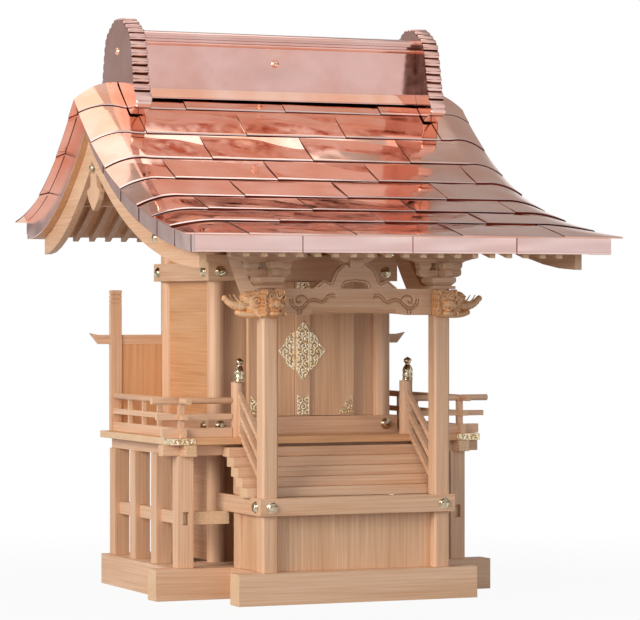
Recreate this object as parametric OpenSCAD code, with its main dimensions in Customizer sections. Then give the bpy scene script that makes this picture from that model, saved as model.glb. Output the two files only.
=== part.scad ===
// Model shrine of pale cypress in the flowing one-bay style: a body on round pillars, a veranda with a
// railing on three sides, a porch with a log stair, and a sheet-copper roof that sweeps out over the porch.
// Front is -Y, the origin is under the middle of the roof, all sizes are in millimetres.

/* [Roof] */
// Run of the front slope, from the ridge to the lip of the eave
front_run = 351; // [335:1:370]
// Run of the rear slope, from the ridge to the lip of the eave
rear_run = 175; // [165:1:190]
// Height of the copper at the ridge
ridge_z = 537; // [525:0.5:550]
// Height of the copper lip at the front eave
front_eave_z = 368.7; // [362:0.1:376]
// Height of the copper lip at the rear eave
rear_eave_z = 392.6; // [386:0.1:400]
// Width over the flared corners of the eaves
roof_w = 470; // [460:1:490]
// Flare of each verge at the corners of the eaves
flare = 8.5; // [4:0.5:12]
// Width of a bent verge, from its bend to the flared corner of the eave
verge_w = 53; // [48:0.5:60]
// Drop of the bent verge below the main slope, at the ridge
verge_drop = 19; // [12:0.5:22]
// Thickness of the roof boards, square to the slope
board_t = 16; // [13:0.5:18]
// Thickness of the copper covering with its folded laps
copper_t = 2; // [1.4:0.1:3]
// Overhang of the copper lip beyond the strips on the verges
lip_over = 11.3; // [8:0.1:13]
// Overhang of the copper lip beyond the strips on the eaves
eave_over = 3; // [2:0.1:5]
// Height of the strips on the verges, below the lip and square to the slope
verge_h = 24; // [21:0.5:28]
// Thickness of the copper strips on the edges
strip_t = 1.4; // [0.8:0.1:2]
// Width of a rafter
rafter_w = 6.5; // [5:0.1:8]
// Height of a rafter, square to the slope
rafter_h = 6; // [4.5:0.1:8]
// Distance from one rafter to the next
rafter_pitch = 18.7; // [16:0.1:22]
// Distance from the flared corner of the eave in to the outer face of a bargeboard
barge_set = 28; // [24:0.5:33]
// Thickness of a bargeboard
barge_t = 8; // [6:0.5:10]
// Height of a bargeboard, square to the slope
barge_h = 22; // [18:0.5:26]
// Width of the leaf-shaped pendant below the peak of each gable
pendant_w = 40; // [32:1:44]
// Height of the pendant
pendant_h = 53; // [44:1:58]

/* [Ridge] */
// Distance of the end plates of the ridge from the bends of the verges
ridge_in = 4; // [2:0.5:14]
// Depth of the ridge box
ridge_d = 36; // [30:1:44]
// Height of the ridge box above the ridge of the copper
ridge_h = 44.5; // [38:0.5:52]
// Height of the rounded cap on the ridge box
cap_h = 9.5; // [7:0.5:12]
// Overhang of the cap
cap_over = 3; // [2:0.5:5]
// Thickness of an end plate
end_t = 18; // [14:0.5:22]
// Width of an end plate above its feet
end_w = 96; // [86:1:104]
// Height of an end plate above the ridge of the copper
end_h = 65.5; // [62:0.5:74]
// Spread of an end plate over its two feet
end_foot_w = 130; // [120:1:136]

/* [Body] */
// Width between the middles of the round pillars
body_w = 189; // [180:1:198]
// Depth between the middles of the round pillars
body_d = 138.6; // [130:0.2:146]
// Distance of the ridge behind the middle of the body
ridge_set = 2.4; // [0:0.2:6]
// Diameter of a round pillar
pillar_d = 18.7; // [16:0.1:21]
// Thickness of the walls
wall_t = 6; // [4:0.2:8]
// Thickness of the panels of the front wall
panel_t = 5; // [4:0.2:7]
// Distance of the front panels behind the middles of the front pillars
panel_set = 2; // [1:0.2:4]
// Thickness of the floor
floor_t = 5; // [4:0.5:7]
// Distance from the front of a pillar to the face of the bands
band_proud = 3.9; // [3:0.1:6]
// Height of the lower band
lower_band_h = 18; // [15:0.5:22]
// Height of the upper band
upper_band_h = 19; // [16:0.5:22]
// Height of the beam on the upper band
head_h = 8; // [6:0.5:10]
// Width of a purlin
purlin_w = 14; // [11:0.5:17]
// Height of a purlin
purlin_h = 24; // [18:0.5:28]

/* [Doors] */
// Distance from the middle of a front pillar to the outer edge of a leaf
door_side = 32.5; // [29:0.5:36]
// Height of a leaf
door_h = 141.5; // [134:0.5:148]
// Thickness of a leaf
door_t = 5; // [4:0.2:6.5]
// Distance of the leaves' middle behind the face of the bands
door_inset = 9; // [8:0.2:10]
// Width of the cover strip on the right leaf
cover_w = 16; // [12:0.5:20]
// Thickness of the cover strip
cover_t = 3; // [2:0.2:4]
// Diameter of a pivot pin
pivot_d = 3; // [2.4:0.1:3.6]
// Length of a pivot pin
pivot_len = 4; // [3:0.5:6]

/* [Base and veranda] */
// Height of the sills
sill_h = 32; // [26:0.5:38]
// Width of a sill
sill_w = 24; // [20:0.5:28]
// Length of the front sill
front_sill_len = 377; // [366:1:390]
// Height of the deck above the ground
deck_z = 165; // [158:0.5:172]
// Thickness of the deck
deck_t = 7.2; // [6:0.2:9]
// Distance of the front and side edges of the deck from the middles of the pillars
deck_reach = 78.3; // [74:0.1:84]
// Distance of the rear edge of the deck behind the rear pillars
deck_tail = 4; // [3.2:0.1:6]
// Side of a square veranda post
post_w = 16.5; // [14:0.1:18]
// Distance from the edge of the deck to the middles of the veranda posts
post_set = 19.4; // [17:0.1:22]
// Height of the beams below the deck
beam_h = 11.5; // [9:0.5:14]
// Width of the beams below the deck
beam_w = 12; // [10:0.5:14]
// Distance that the noses of these beams reach past the deck
beam_nose = 5; // [2:0.5:8]
// Height of the lower edge of the tie rails between the posts
tie_z = 76; // [68:0.5:84]
// Height of a tie rail
tie_h = 13; // [10:0.5:16]
// Thickness of a tie rail
tie_t = 6; // [4:0.5:8]

/* [Railing] */
// Distance of the railing from the edge of the deck
rail_set = 15.5; // [14:0.5:18]
// Diameter of the round top rail
top_rail_d = 6.5; // [5:0.1:8]
// Height of the middle of the top rail above the deck
top_rail_z = 37.2; // [34:0.1:42]
// Height of the middle rail
mid_rail_h = 5.5; // [4:0.1:7]
// Height of the middle of the middle rail above the deck
mid_rail_z = 21; // [18:0.1:24]
// Height of the bottom rail
low_rail_h = 9.5; // [8:0.1:12]
// Width of the middle and bottom rails
rail_w = 6; // [5:0.1:8]
// Reach of the top rail in front past the corner
top_rail_nose = 32; // [26:0.5:36]
// Reach of the middle rail in front past the corner
mid_rail_nose = 27; // [22:0.5:30]
// Reach of the bottom rail in front past the corner
low_rail_nose = 21; // [17:0.5:24]
// Reach of the top rail at the side past the corner
side_top_nose = 23.5; // [19:0.5:28]
// Reach of the middle rail at the side past the corner
side_mid_nose = 14.5; // [11:0.5:18]
// Reach of the bottom rail at the side past the corner
side_low_nose = 9.5; // [7:0.5:13]
// Side of a small post in the railing
stub_w = 4; // [3:0.1:5]
// Diameter of a newel post
newel_d = 13.7; // [12:0.1:15]
// Height of a newel post
newel_h = 56; // [50:0.5:62]
// Diameter of a brass finial
finial_d = 11; // [9:0.1:12.6]
// Height of a brass finial
finial_h = 25; // [20:0.5:28]

/* [Porch] */
// Distance from the front pillars of the body to the porch pillars
porch_reach = 143.3; // [138:0.1:150]
// Width between the middles of the porch pillars
porch_w = 190; // [184:1:198]
// Side of a square porch pillar
porch_pillar_w = 17.5; // [15:0.1:19]
// Chamfer on the corners of a porch pillar
porch_chamfer = 2; // [1:0.1:3]
// Height of the carved plates that lie on the brackets
plate_h = 10.4; // [8:0.1:13]
// Length of such a plate over a pillar
plate_len = 83; // [76:0.5:92]
// Length of the porch sill
porch_sill_len = 263.4; // [254:0.2:272]
// Distance from the porch pillars to the front of the porch sill
porch_sill_reach = 15.4; // [13:0.1:18]
// Height of the top of the porch rails
porch_rail_z = 106.4; // [100:0.2:112]
// Height of a porch rail
porch_rail_h = 17.4; // [14:0.2:20]
// Thickness of a porch rail
porch_rail_t = 4; // [3:0.1:5]
// Reach of the side rails behind the porch pillars
porch_rail_reach = 107; // [98:1:112]
// Height of the engraved beam between the porch pillars
porch_beam_h = 26.7; // [22:0.1:30]
// Thickness of this beam
porch_beam_t = 10; // [8:0.5:12]
// Rise of the middle of the beam's lower edge
porch_beam_rise = 2.5; // [1:0.5:4]
// Height of the carved heads
head_carving_h = 29; // [25:0.5:32]
// Reach of the trunk on the outer heads
trunk_reach = 41; // [35:0.5:46]
// Reach of the muzzle on the front heads
muzzle_reach = 21; // [16:0.5:26]

/* [Stair] */
// Number of log treads
tread_n = 5; // [5:1:5]
// Length of a tread
tread_len = 226; // [216:1:234]
// Depth of a tread
tread_d = 18; // [16:0.5:20]
// Distance of the top tread's edge in front of the deck
tread_lead = 5.5; // [4:0.5:7]
// Slot between the deck and the top tread
tread_drop = 3; // [2:0.1:4]
// Thickness of the boards beside the stair
stair_board_t = 4; // [3:0.2:5]
// Height of a stair handrail, measured upright
hand_h = 44; // [38:0.5:48]
// Thickness of a stair handrail
hand_t = 5; // [4:0.2:6]

/* [Side screens] */
// Width of a screen post
screen_post_w = 12.5; // [10:0.1:14]
// Thickness of a screen post
screen_post_t = 6.4; // [5:0.2:7.4]
// Height of a screen post
screen_post_h = 151; // [140:0.5:160]
// Height of the lintel's lower edge above the deck
screen_lintel_z = 93; // [86:0.5:100]
// Height of a lintel
screen_lintel_h = 10; // [8:0.2:12]
// Thickness of a lintel
screen_lintel_t = 3.2; // [2.4:0.1:4]
// Reach of a lintel past the middle of its post
screen_over = 30; // [24:0.5:36]

/* [Hidden] */
$fn = 48;

// Fits: clearance between seated pieces, play of the pivots and doors, overrun of cuts
fit = 0.1;
seat = 0.25;
pivot_play = 0.08;
door_gap = 0.5;
over = 1;
probe = 0.5;

// Stations along the slopes, close together near the ridge, and the shares of the roof's two curves
station_shares = [0, 0.02, 0.045, 0.075, 0.11, 0.15, 0.2, 0.26, 0.33, 0.41, 0.5, 0.6, 0.7, 0.8, 0.9, 1];
front_straight_share = 0.5;
front_power = 3.3;
rear_straight_share = 0.6;
rear_power = 2;
drop_power = 1.6;
flare_power = 5;
verge_steps = 5;

// Places across and along the shrine
ridge_y = (front_run - rear_run) / 2;
front_y = ridge_y - ridge_set - body_d / 2;
rear_y = front_y + body_d;
pillar_x = body_w / 2;
pillar_r = pillar_d / 2;
crease_x = roof_w / 2 - verge_w;
barge_x = roof_w / 2 - barge_set;
ridge_len = 2 * (crease_x - ridge_in - end_t);
porch_y = front_y - porch_reach;
porch_x = porch_w / 2;
porch_r = porch_pillar_w / 2;
deck_front_y = front_y - deck_reach;
deck_rear_y = rear_y + deck_tail;
deck_low = deck_z - deck_t;
beam_low = deck_low - beam_h;
deck_w = body_w + 2 * deck_reach;
post_x = deck_w / 2 - post_set;
post_front_y = deck_front_y + post_set;
post_rear_y = deck_rear_y - post_w / 2;
post_n = 4;
post_ys = [for (i = [0:post_n - 1]) post_front_y + (post_rear_y - post_front_y) * i / (post_n - 1)];
rail_x = deck_w / 2 - rail_set;
rail_y = deck_front_y + rail_set;
newel_y = rail_y;

// The walls and bands of the body
wall_out = pillar_x + wall_t / 2;
wall_in = pillar_x - wall_t / 2;
panel_front = front_y + panel_set;
panel_back = panel_front + panel_t;
rear_in = rear_y - wall_t / 2;
rear_out = rear_y + wall_t / 2;
band_x = pillar_x + pillar_r + band_proud;
band_front = front_y - pillar_r - band_proud;
band_rear = rear_y + pillar_r + band_proud;
lower_band_z = deck_z;
door_z = lower_band_z + lower_band_h + door_gap;
upper_band_z = door_z + door_h + door_gap;
head_z = upper_band_z + upper_band_h;
floor_drop = 6;
floor_top = lower_band_z + lower_band_h - floor_drop;

// The doors: leaf plane, hinge places, meeting line and the stops behind their edges
door_mid = band_front + door_inset;
door_front = door_mid - door_t / 2;
doors_w = body_w - 2 * door_side;
hinge_x = doors_w / 2 - door_t / 2;
meet_gap = 0.6;
door_stop = 4.5;
way_x = doors_w / 2 - door_stop;

// Height of the copper at a distance u from the ridge, on the front (side -1) or rear (side 1) slope
function run_of(side) = side < 0 ? front_run : rear_run;
function eave_z(side) = side < 0 ? front_eave_z : rear_eave_z;
function straight_of(side) = side < 0 ? front_straight_share : rear_straight_share;
function power_of(side) = side < 0 ? front_power : rear_power;
function rise_share(r, a, p) = a * r + (1 - a) * pow(max(r, 0), p);
function roof_z(u, side) = eave_z(side)
    + (ridge_z - eave_z(side)) * rise_share(1 - u / run_of(side), straight_of(side), power_of(side));
function roof_slope(u, side) = (roof_z(u - probe, side) - roof_z(u + probe, side)) / (2 * probe);
function lean(u, side) = sqrt(1 + pow(roof_slope(min(u, run_of(side) - probe), side), 2));
function under_z(u, side, t) = roof_z(u, side) - t * lean(u, side);
function slope_y(u, side) = ridge_y + side * u;
function stations(side, u0, u1) = concat([u0],
    [for (s = station_shares) if (s * run_of(side) > u0 + probe && s * run_of(side) < u1 - probe)
        s * run_of(side)], [u1]);
function slope_line(side, t, us) = [for (u = us) [slope_y(u, side), under_z(u, side, t)]];
function flip(v) = [for (i = [len(v) - 1:-1:0]) v[i]];

// The bent verge: half width at the lip, drop below the main slope, and foot of the verge strip
function lip_x(u, side) = roof_w / 2 - flare * (1 - pow(u / run_of(side), flare_power));
function strip_x(u, side) = lip_x(u, side) - lip_over;
function bend(x, u, side) = verge_drop * (1 - pow(u / run_of(side), drop_power))
    * pow(max(0, x - crease_x) / (lip_x(u, side) - crease_x), 2);
verge_taper_share = 0.25;
verge_taper_power = 8;
function verge_foot(u, side) = roof_z(u, side) - bend(lip_x(u, side), u, side)
    - verge_h * (1 - verge_taper_share * pow(u / run_of(side), verge_taper_power)) * lean(u, side);
barge_taper_share = 0.4;
barge_taper_power = 4;
function barge_foot(u, side) = verge_foot(u, side)
    - barge_h * (1 - barge_taper_share * pow(u / run_of(side), barge_taper_power)) * lean(u, side);

// Undersides that carry the roof
boards_t = copper_t + board_t;
rafters_t = boards_t + rafter_h;
front_purlin_u = ridge_y - front_y;
rear_purlin_u = rear_y - ridge_y;
porch_purlin_u = ridge_y - porch_y;
front_purlin_z = under_z(front_purlin_u + purlin_w / 2, -1, rafters_t) - fit;
rear_purlin_z = under_z(rear_purlin_u + purlin_w / 2, 1, rafters_t) - fit;
porch_purlin_z = under_z(porch_purlin_u + purlin_w / 2, -1, rafters_t) - fit;
ridge_purlin_z = min(under_z(purlin_w / 2, -1, boards_t), under_z(purlin_w / 2, 1, boards_t)) - fit;
purlin_x = barge_x - barge_t - fit;

// Helpers
module both() {
    children();
    mirror([1, 0, 0]) children();
}

// A block between two corners
module block(a, b) {
    translate(a) cube(b - a);
}

// A flat outline drawn in Y and Z, given a thickness from x0 to x1
module plate_x(x0, x1) {
    translate([x0, 0, 0]) rotate([90, 0, 90]) linear_extrude(x1 - x0) children();
}

// A flat outline drawn in X and Z, given a thickness from y0 to y1
module plate_y(y0, y1) {
    translate([0, y1, 0]) rotate([90, 0, 0]) linear_extrude(y1 - y0) children();
}

// Rings of equal length, front to back, each an upper edge from left to right and then a lower edge back
// with as many points, closed into a solid
module skin(rings) {
    n = len(rings);
    m = len(rings[0]);
    sides = [for (i = [0:n - 2], j = [0:m - 1], k = [0, 1]) let (p = (j + 1) % m)
        k == 0 ? [i * m + j, (i + 1) * m + j, (i + 1) * m + p] : [i * m + j, (i + 1) * m + p, i * m + p]];
    cap = [for (j = [0:m / 2 - 2], k = [0, 1])
        k == 0 ? [j, j + 1, m - 2 - j] : [j, m - 2 - j, m - 1 - j]];
    last = (n - 1) * m;
    polyhedron([for (r = rings) each r],
        concat(cap, sides, [for (f = cap) [last + f[2], last + f[1], last + f[0]]]));
}

// The round pillars with a clearance, for cutting what stands between them
module pillar_cuts() {
    both()
        for (y = [front_y, rear_y])
            translate([pillar_x, y, 0]) cylinder(h = ridge_z, r = pillar_r + fit);
}

// Base
sill_lip = 7;
sill_front_y = post_front_y - post_w / 2 - sill_lip;
side_sill_x = post_x + post_w / 2 + sill_lip;
porch_sill_front = porch_y - porch_sill_reach;

module base_cross_sills() color("burlywood") {
    block([-front_sill_len / 2, sill_front_y, 0], [front_sill_len / 2, sill_front_y + sill_w, sill_h]);
    for (y = [front_y, rear_y])
        block([-side_sill_x + sill_w, y - sill_w / 2, 0], [side_sill_x - sill_w, y + sill_w / 2, sill_h]);
}

module base_side_sills() color("burlywood") both() {
    block([side_sill_x - sill_w, sill_front_y + sill_w, 0], [side_sill_x, rear_y + sill_w / 2, sill_h]);
    block([porch_x - sill_w / 2, porch_sill_front + sill_w, 0], [porch_x + sill_w / 2, sill_front_y, sill_h]);
}

module porch_sill() color("burlywood")
    block([-porch_sill_len / 2, porch_sill_front, 0],
        [porch_sill_len / 2, porch_sill_front + sill_w, sill_h]);

// Veranda
module veranda_posts() color("wheat") both() difference() {
    for (y = post_ys)
        block([post_x - post_w / 2, y - post_w / 2, sill_h], [post_x + post_w / 2, y + post_w / 2, beam_low]);
    block([post_x - tie_t / 2 - fit, post_front_y - post_w, tie_z - fit],
        [post_x + tie_t / 2 + fit, post_rear_y + post_w, tie_z + tie_h + fit]);
}

module veranda_tie_rails() color("wheat") both() {
    block([post_x - tie_t / 2, post_front_y - post_w / 2 + tie_t, tie_z],
        [post_x + tie_t / 2, post_rear_y + post_w / 2, tie_z + tie_h]);
    block([rear_post_x + rear_post_w / 2 + fit, post_front_y - tie_t / 2, tie_z],
        [post_x - post_w / 2 - fit, post_front_y + tie_t / 2, tie_z + tie_h]);
}

module beam_crossing(z0, z1) {
    both()
        block([post_x - beam_w / 2 - fit, post_front_y - beam_w / 2 - fit, z0],
            [post_x + beam_w / 2 + fit, post_front_y + beam_w / 2 + fit, z1]);
}

beam_half_z = beam_low + beam_h / 2;

module veranda_front_beam() color("wheat") difference() {
    block([-deck_w / 2 - beam_nose, post_front_y - beam_w / 2, beam_low],
        [deck_w / 2 + beam_nose, post_front_y + beam_w / 2, deck_low]);
    beam_crossing(beam_half_z, deck_low + over);
}

module veranda_side_beams() color("wheat") difference() {
    both()
        block([post_x - beam_w / 2, deck_front_y - beam_nose, beam_low],
            [post_x + beam_w / 2, deck_rear_y, deck_low]);
    beam_crossing(beam_low - over, beam_half_z);
}

module veranda_deck() color("navajowhite") difference() {
    block([-deck_w / 2, deck_front_y, deck_low], [deck_w / 2, deck_rear_y, deck_z]);
    block([-wall_out - fit, panel_front - fit, deck_low - over],
        [wall_out + fit, deck_rear_y + over, deck_z + over]);
    pillar_cuts();
}

corner_band_t = 0.8;
corner_band_front = 25.7;
corner_band_side = 20;

module deck_corner_bands() color("goldenrod") both() difference() {
    block([deck_w / 2 - corner_band_front, deck_front_y - corner_band_t, deck_low],
        [deck_w / 2 + corner_band_t, deck_front_y + corner_band_side, deck_z]);
    block([0, deck_front_y, deck_low - over], [deck_w / 2, deck_rear_y, deck_z + over]);
}

// Railing: three rails that cross at the corner, half of each cut away there
screen_y = rear_y;
screen_front = screen_y - screen_post_t / 2;
top_z = deck_z + top_rail_z;
mid_z = deck_z + mid_rail_z;
stub_shares = [0, 0.32, 0.55, 0.77];

module rail_bars(len, noses) {
    translate([0, -noses[0], top_z]) rotate([-90, 0, 0]) cylinder(h = len + noses[0], d = top_rail_d);
    block([-rail_w / 2, -noses[1], mid_z - mid_rail_h / 2], [rail_w / 2, len, mid_z + mid_rail_h / 2]);
    block([-rail_w / 2, -noses[2], deck_z], [rail_w / 2, len, deck_z + low_rail_h]);
}

module rail_crossing(part) {
    w = max(rail_w, top_rail_d) / 2 + fit;
    for (z = [[top_z, top_rail_d], [mid_z, mid_rail_h], [deck_z + low_rail_h / 2, low_rail_h]])
        block([rail_x - w, rail_y - w, part > 0 ? z[0] - fit : z[0] - z[1] / 2 - over],
            [rail_x + w, rail_y + w, part > 0 ? z[0] + z[1] / 2 + over : z[0] + fit]);
}

side_rail_len = screen_front - fit - rail_y;

module railing_sides() color("wheat") both() {
    difference() {
        translate([rail_x, rail_y, 0]) rail_bars(side_rail_len, [side_top_nose, side_mid_nose, side_low_nose]);
        rail_crossing(-1);
    }
    for (s = stub_shares)
        if (s > 0)
            translate([rail_x - stub_w / 2, rail_y + s * side_rail_len - stub_w / 2, deck_z])
                cube([stub_w, stub_w, top_rail_z]);
}

module railing_fronts() color("wheat") both() difference() {
    translate([rail_x, rail_y, 0]) rotate([0, 0, 90])
        rail_bars(rail_x - porch_x - newel_d / 2 - fit, [top_rail_nose, mid_rail_nose, low_rail_nose]);
    rail_crossing(1);
}

module newel_posts() color("wheat") both()
    translate([porch_x, newel_y, deck_z]) cylinder(h = newel_h, d = newel_d);

// An onion-shaped finial: ringed socket, neck, bulb and point, turned from shares of its size
finial_shares = [[1, 0], [1, 0.12], [0.95, 0.15], [0.95, 0.3], [1, 0.33], [0.97, 0.5], [0.9, 0.56],
    [0.6, 0.64], [0.48, 0.7], [0.76, 0.8], [0.78, 0.86], [0.5, 0.93], [0.15, 0.97], [0.05, 1]];

module newel_finials() color("gold") both()
    translate([porch_x, newel_y, deck_z + newel_h])
        rotate_extrude()
            polygon(concat([[0, 0]], [for (p = finial_shares) [p[0] * finial_d / 2, p[1] * finial_h]],
                [[0, finial_h]]));

// Stair
tread_top = deck_low - tread_drop;
tread_rise = (tread_top - porch_rail_z) / tread_n;
tread_first = deck_front_y - tread_lead;
tread_clear = 3;
tread_last = porch_y + porch_r + tread_clear;
tread_run = (tread_first - tread_last) / (tread_n - 1);

module tread(i) {
    block([-tread_len / 2, tread_first - i * tread_run, tread_top - (i + 1) * tread_rise],
        [tread_len / 2, tread_first - i * tread_run + tread_d, tread_top - i * tread_rise]);
}

module stair_treads_odd() color("wheat") for (i = [0:2:tread_n - 1]) tread(i);

module stair_treads_even() color("wheat") for (i = [1:2:tread_n - 1]) tread(i);

stair_board_set = 2;
stair_board_x = porch_x + stair_board_set;

module stair_boards() color("wheat") both()
    plate_x(stair_board_x, stair_board_x + stair_board_t)
        polygon(concat([[tread_last + tread_d, porch_rail_z]],
            [for (i = [tread_n - 2:-1:0]) each
                [[tread_first - (i + 1) * tread_run + tread_d, tread_top - (i + 1) * tread_rise],
                    [tread_first - i * tread_run + tread_d, tread_top - (i + 1) * tread_rise]]],
            [[tread_first + tread_d, porch_rail_z]]));

hand_slope = tread_rise / tread_run;
hand_back = newel_y - newel_d / 2 - fit;
hand_front = porch_y + porch_r + fit;
hand_lift = 2;
hand_low = deck_z + hand_lift;
hand_bar_share = 0.16;
hand_slot_share = 0.26;

module stair_handrails() color("burlywood") both() difference() {
    plate_x(porch_x - hand_t / 2, porch_x + hand_t / 2) {
        drop = (hand_back - hand_front) * hand_slope;
        difference() {
            polygon([[hand_front, hand_low - drop], [hand_back, hand_low], [hand_back, hand_low + hand_h],
                [hand_front, hand_low + hand_h - drop]]);
            for (i = [1, 2])
                let (z = hand_low + hand_h * (hand_bar_share * i + hand_slot_share * (i - 1)))
                    polygon([[hand_front + hand_t, z + hand_t * hand_slope - drop],
                        [hand_back - hand_t, z - hand_t * hand_slope],
                        [hand_back - hand_t, z - hand_t * hand_slope + hand_h * hand_slot_share],
                        [hand_front + hand_t, z + hand_t * hand_slope - drop + hand_h * hand_slot_share]]);
        }
    }
    block([0, deck_front_y - fit, 0], [deck_w, deck_front_y + deck_w, deck_z + fit]);
}

// Heights of the bracket sets, down from the purlin that they carry to the tops of the porch pillars
block_h = 11.5;
arm_h = 8;
bearing_h = 7;
porch_purlin_low = porch_purlin_z - purlin_h;
plate_z = porch_purlin_low - plate_h;
bearing_z = plate_z - bearing_h;
arm_z = bearing_z - arm_h;
porch_top_z = arm_z - block_h;

// Porch below its beam
rear_post_w = 16.4;
rear_post_x = porch_x + (porch_pillar_w - rear_post_w) / 2;
rear_post_y = sill_front_y - rear_post_w / 2;
porch_panel_t = 4;
porch_panel_set = 2;

module chamfered(w, c) {
    polygon([[-w / 2 + c, -w / 2], [w / 2 - c, -w / 2], [w / 2, -w / 2 + c], [w / 2, w / 2 - c],
        [w / 2 - c, w / 2], [-w / 2 + c, w / 2], [-w / 2, w / 2 - c], [-w / 2, -w / 2 + c]]);
}

module porch_pillars() color("wheat") both()
    translate([porch_x, porch_y, sill_h])
        linear_extrude(porch_top_z - sill_h) chamfered(porch_pillar_w, porch_chamfer);

module porch_rear_posts() color("wheat") both()
    block([rear_post_x - rear_post_w / 2, rear_post_y - rear_post_w / 2, sill_h],
        [rear_post_x + rear_post_w / 2, rear_post_y + rear_post_w / 2, porch_rail_z]);

module porch_panels() color("wheat") {
    block([-porch_x + porch_r + fit, porch_y + porch_panel_set, sill_h],
        [porch_x - porch_r - fit, porch_y + porch_panel_set + porch_panel_t, porch_rail_z]);
    both()
        block([stair_board_x, porch_y + porch_r + fit, sill_h],
            [stair_board_x + porch_panel_t, rear_post_y - rear_post_w / 2 - fit, porch_rail_z]);
}

porch_rail_x = porch_x + porch_r;
porch_rail_front = porch_y - porch_r - porch_rail_t;

module porch_front_rail() color("burlywood")
    block([-porch_rail_x - porch_rail_t, porch_rail_front, porch_rail_z - porch_rail_h],
        [porch_rail_x + porch_rail_t, porch_rail_front + porch_rail_t, porch_rail_z]);

module porch_side_rails() color("burlywood") both()
    block([porch_rail_x, porch_rail_front + porch_rail_t, porch_rail_z - porch_rail_h],
        [porch_rail_x + porch_rail_t, porch_y + porch_rail_reach, porch_rail_z]);

// Porch beam with a gently arched lower edge
porch_beam_z = porch_top_z - porch_beam_h;
porch_beam_set = 3;
porch_beam_y = porch_y - porch_beam_set;
arch_steps = 12;
arch_share = 0.3;
arch_power = 4;

module porch_beam() color("tan") plate_y(porch_beam_y, porch_beam_y + porch_beam_t) {
    half = porch_x - porch_r - fit;
    polygon(concat([[-half, porch_top_z], [half, porch_top_z], [half, porch_beam_z]],
        [for (i = [0:arch_steps]) let (a = 1 - 2 * i / arch_steps)
            [half * (1 - arch_share) * a, porch_beam_z + porch_beam_rise * (1 - pow(a, arch_power))]],
        [[-half, porch_beam_z]]));
}

// Carved heads, plain blanks of their outline
carving_z = porch_top_z - head_carving_h;
carving_w = 15;
elephant_shares = [[0, 0], [0.55, 0], [0.7, 0.04], [0.72, 0.18], [0.56, 0.24], [0.5, 0.34], [0.78, 0.46],
    [0.95, 0.44], [1, 0.54], [0.97, 0.66], [0.84, 0.68], [0.7, 0.62], [0.58, 0.8], [0.46, 0.98], [0, 1]];
lion_shares = [[0, 0], [0.9, 0], [1, 0.1], [0.94, 0.24], [0.72, 0.3], [0.74, 0.38], [1, 0.44], [1, 0.62],
    [0.78, 0.72], [0.7, 0.94], [0.5, 1], [0, 1]];

module elephant_heads() color("peru") both()
    plate_y(porch_y - carving_w / 2, porch_y + carving_w / 2)
        polygon([for (p = elephant_shares)
            [porch_x + porch_r + p[0] * trunk_reach, carving_z + p[1] * head_carving_h]]);

module lion_heads() color("peru") both()
    plate_x(porch_x - carving_w / 2, porch_x + carving_w / 2)
        polygon([for (p = lion_shares)
            [porch_y - porch_r - p[0] * muzzle_reach, carving_z + p[1] * head_carving_h]]);

// Brackets on the porch pillars: moulded bearing block, crossed arms, small blocks, carved plates
block_w = 27;
block_foot_w = 19;
block_base_w = 26;
block_base_h = 3;
arm_len = 48;
arm_w = 8;
arm_foot_share = 0.5;
arm_steps = 4;
bearing_w = 13;
bearing_foot_w = 10;

// A square block, its lower half drawn in to a foot
module tapered_block(foot_w, w, h) {
    linear_extrude(h / 2, scale = w / foot_w) square(foot_w, center = true);
    translate([-w / 2, -w / 2, h / 2]) cube([w, w, h / 2]);
}

module bracket_blocks() color("tan") both() translate([porch_x, porch_y, porch_top_z]) {
    translate([-block_base_w / 2, -block_base_w / 2, 0]) cube([block_base_w, block_base_w, block_base_h]);
    translate([0, 0, block_base_h]) tapered_block(block_foot_w, block_w, block_h - block_base_h);
}

// A bracket arm: level above, its underside rounded up to both ends
function arm_point(side, a) = [side * arm_len / 2 * (arm_foot_share + (1 - arm_foot_share) * cos(a)),
    arm_h / 2 * (1 - sin(a))];

module arm() {
    plate_y(-arm_w / 2, arm_w / 2)
        polygon(concat([[arm_len / 2, arm_h], [-arm_len / 2, arm_h]],
            [for (i = [0:arm_steps]) arm_point(-1, 90 * i / arm_steps)],
            [for (i = [0:arm_steps]) arm_point(1, 90 * (1 - i / arm_steps))]));
}

module bracket_arms() color("tan") both() translate([porch_x, porch_y, arm_z]) {
    arm();
    rotate([0, 0, 90]) arm();
}

// Frog-leg strut on the beam, with curled feet and a seat for the block below the middle plate
frog_w = 92;
frog_t = 9;
frog_h = plate_z - porch_top_z;
frog_seat_share = 0.82;
frog_shares = [[0, 0.29], [0.1, 0.26], [0.19, 0.26], [0.28, 0.18], [0.33, 0], [1, 0], [0.99, 0.05],
    [0.88, 0.185], [0.8, 0.305], [0.745, 0.32], [0.655, 0.257], [0.587, 0.223], [0.556, 0.332], [0.52, 0.48],
    [0.474, 0.653], [0.428, 0.736], [0.34, 0.872], [0.278, 0.917]];
frog_block_w = 16;
frog_block_foot_w = 14;
frog_block_z = porch_top_z + frog_seat_share * frog_h;
frog_notch_share = 0.3;
frog_block_top = plate_z + frog_notch_share * plate_h;

module frog_leg_strut() color("tan") plate_y(porch_y - frog_t / 2, porch_y + frog_t / 2)
    difference() {
        polygon([for (s = [1, -1]) each [for (p = s > 0 ? frog_shares : flip(frog_shares))
            if (s > 0 || p[0] > 0) [s * p[0] * frog_w / 2, porch_top_z + p[1] * frog_h]]]);
        translate([-frog_block_w / 2 - fit, frog_block_z]) square([frog_block_w + 2 * fit, frog_h]);
    }

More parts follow.
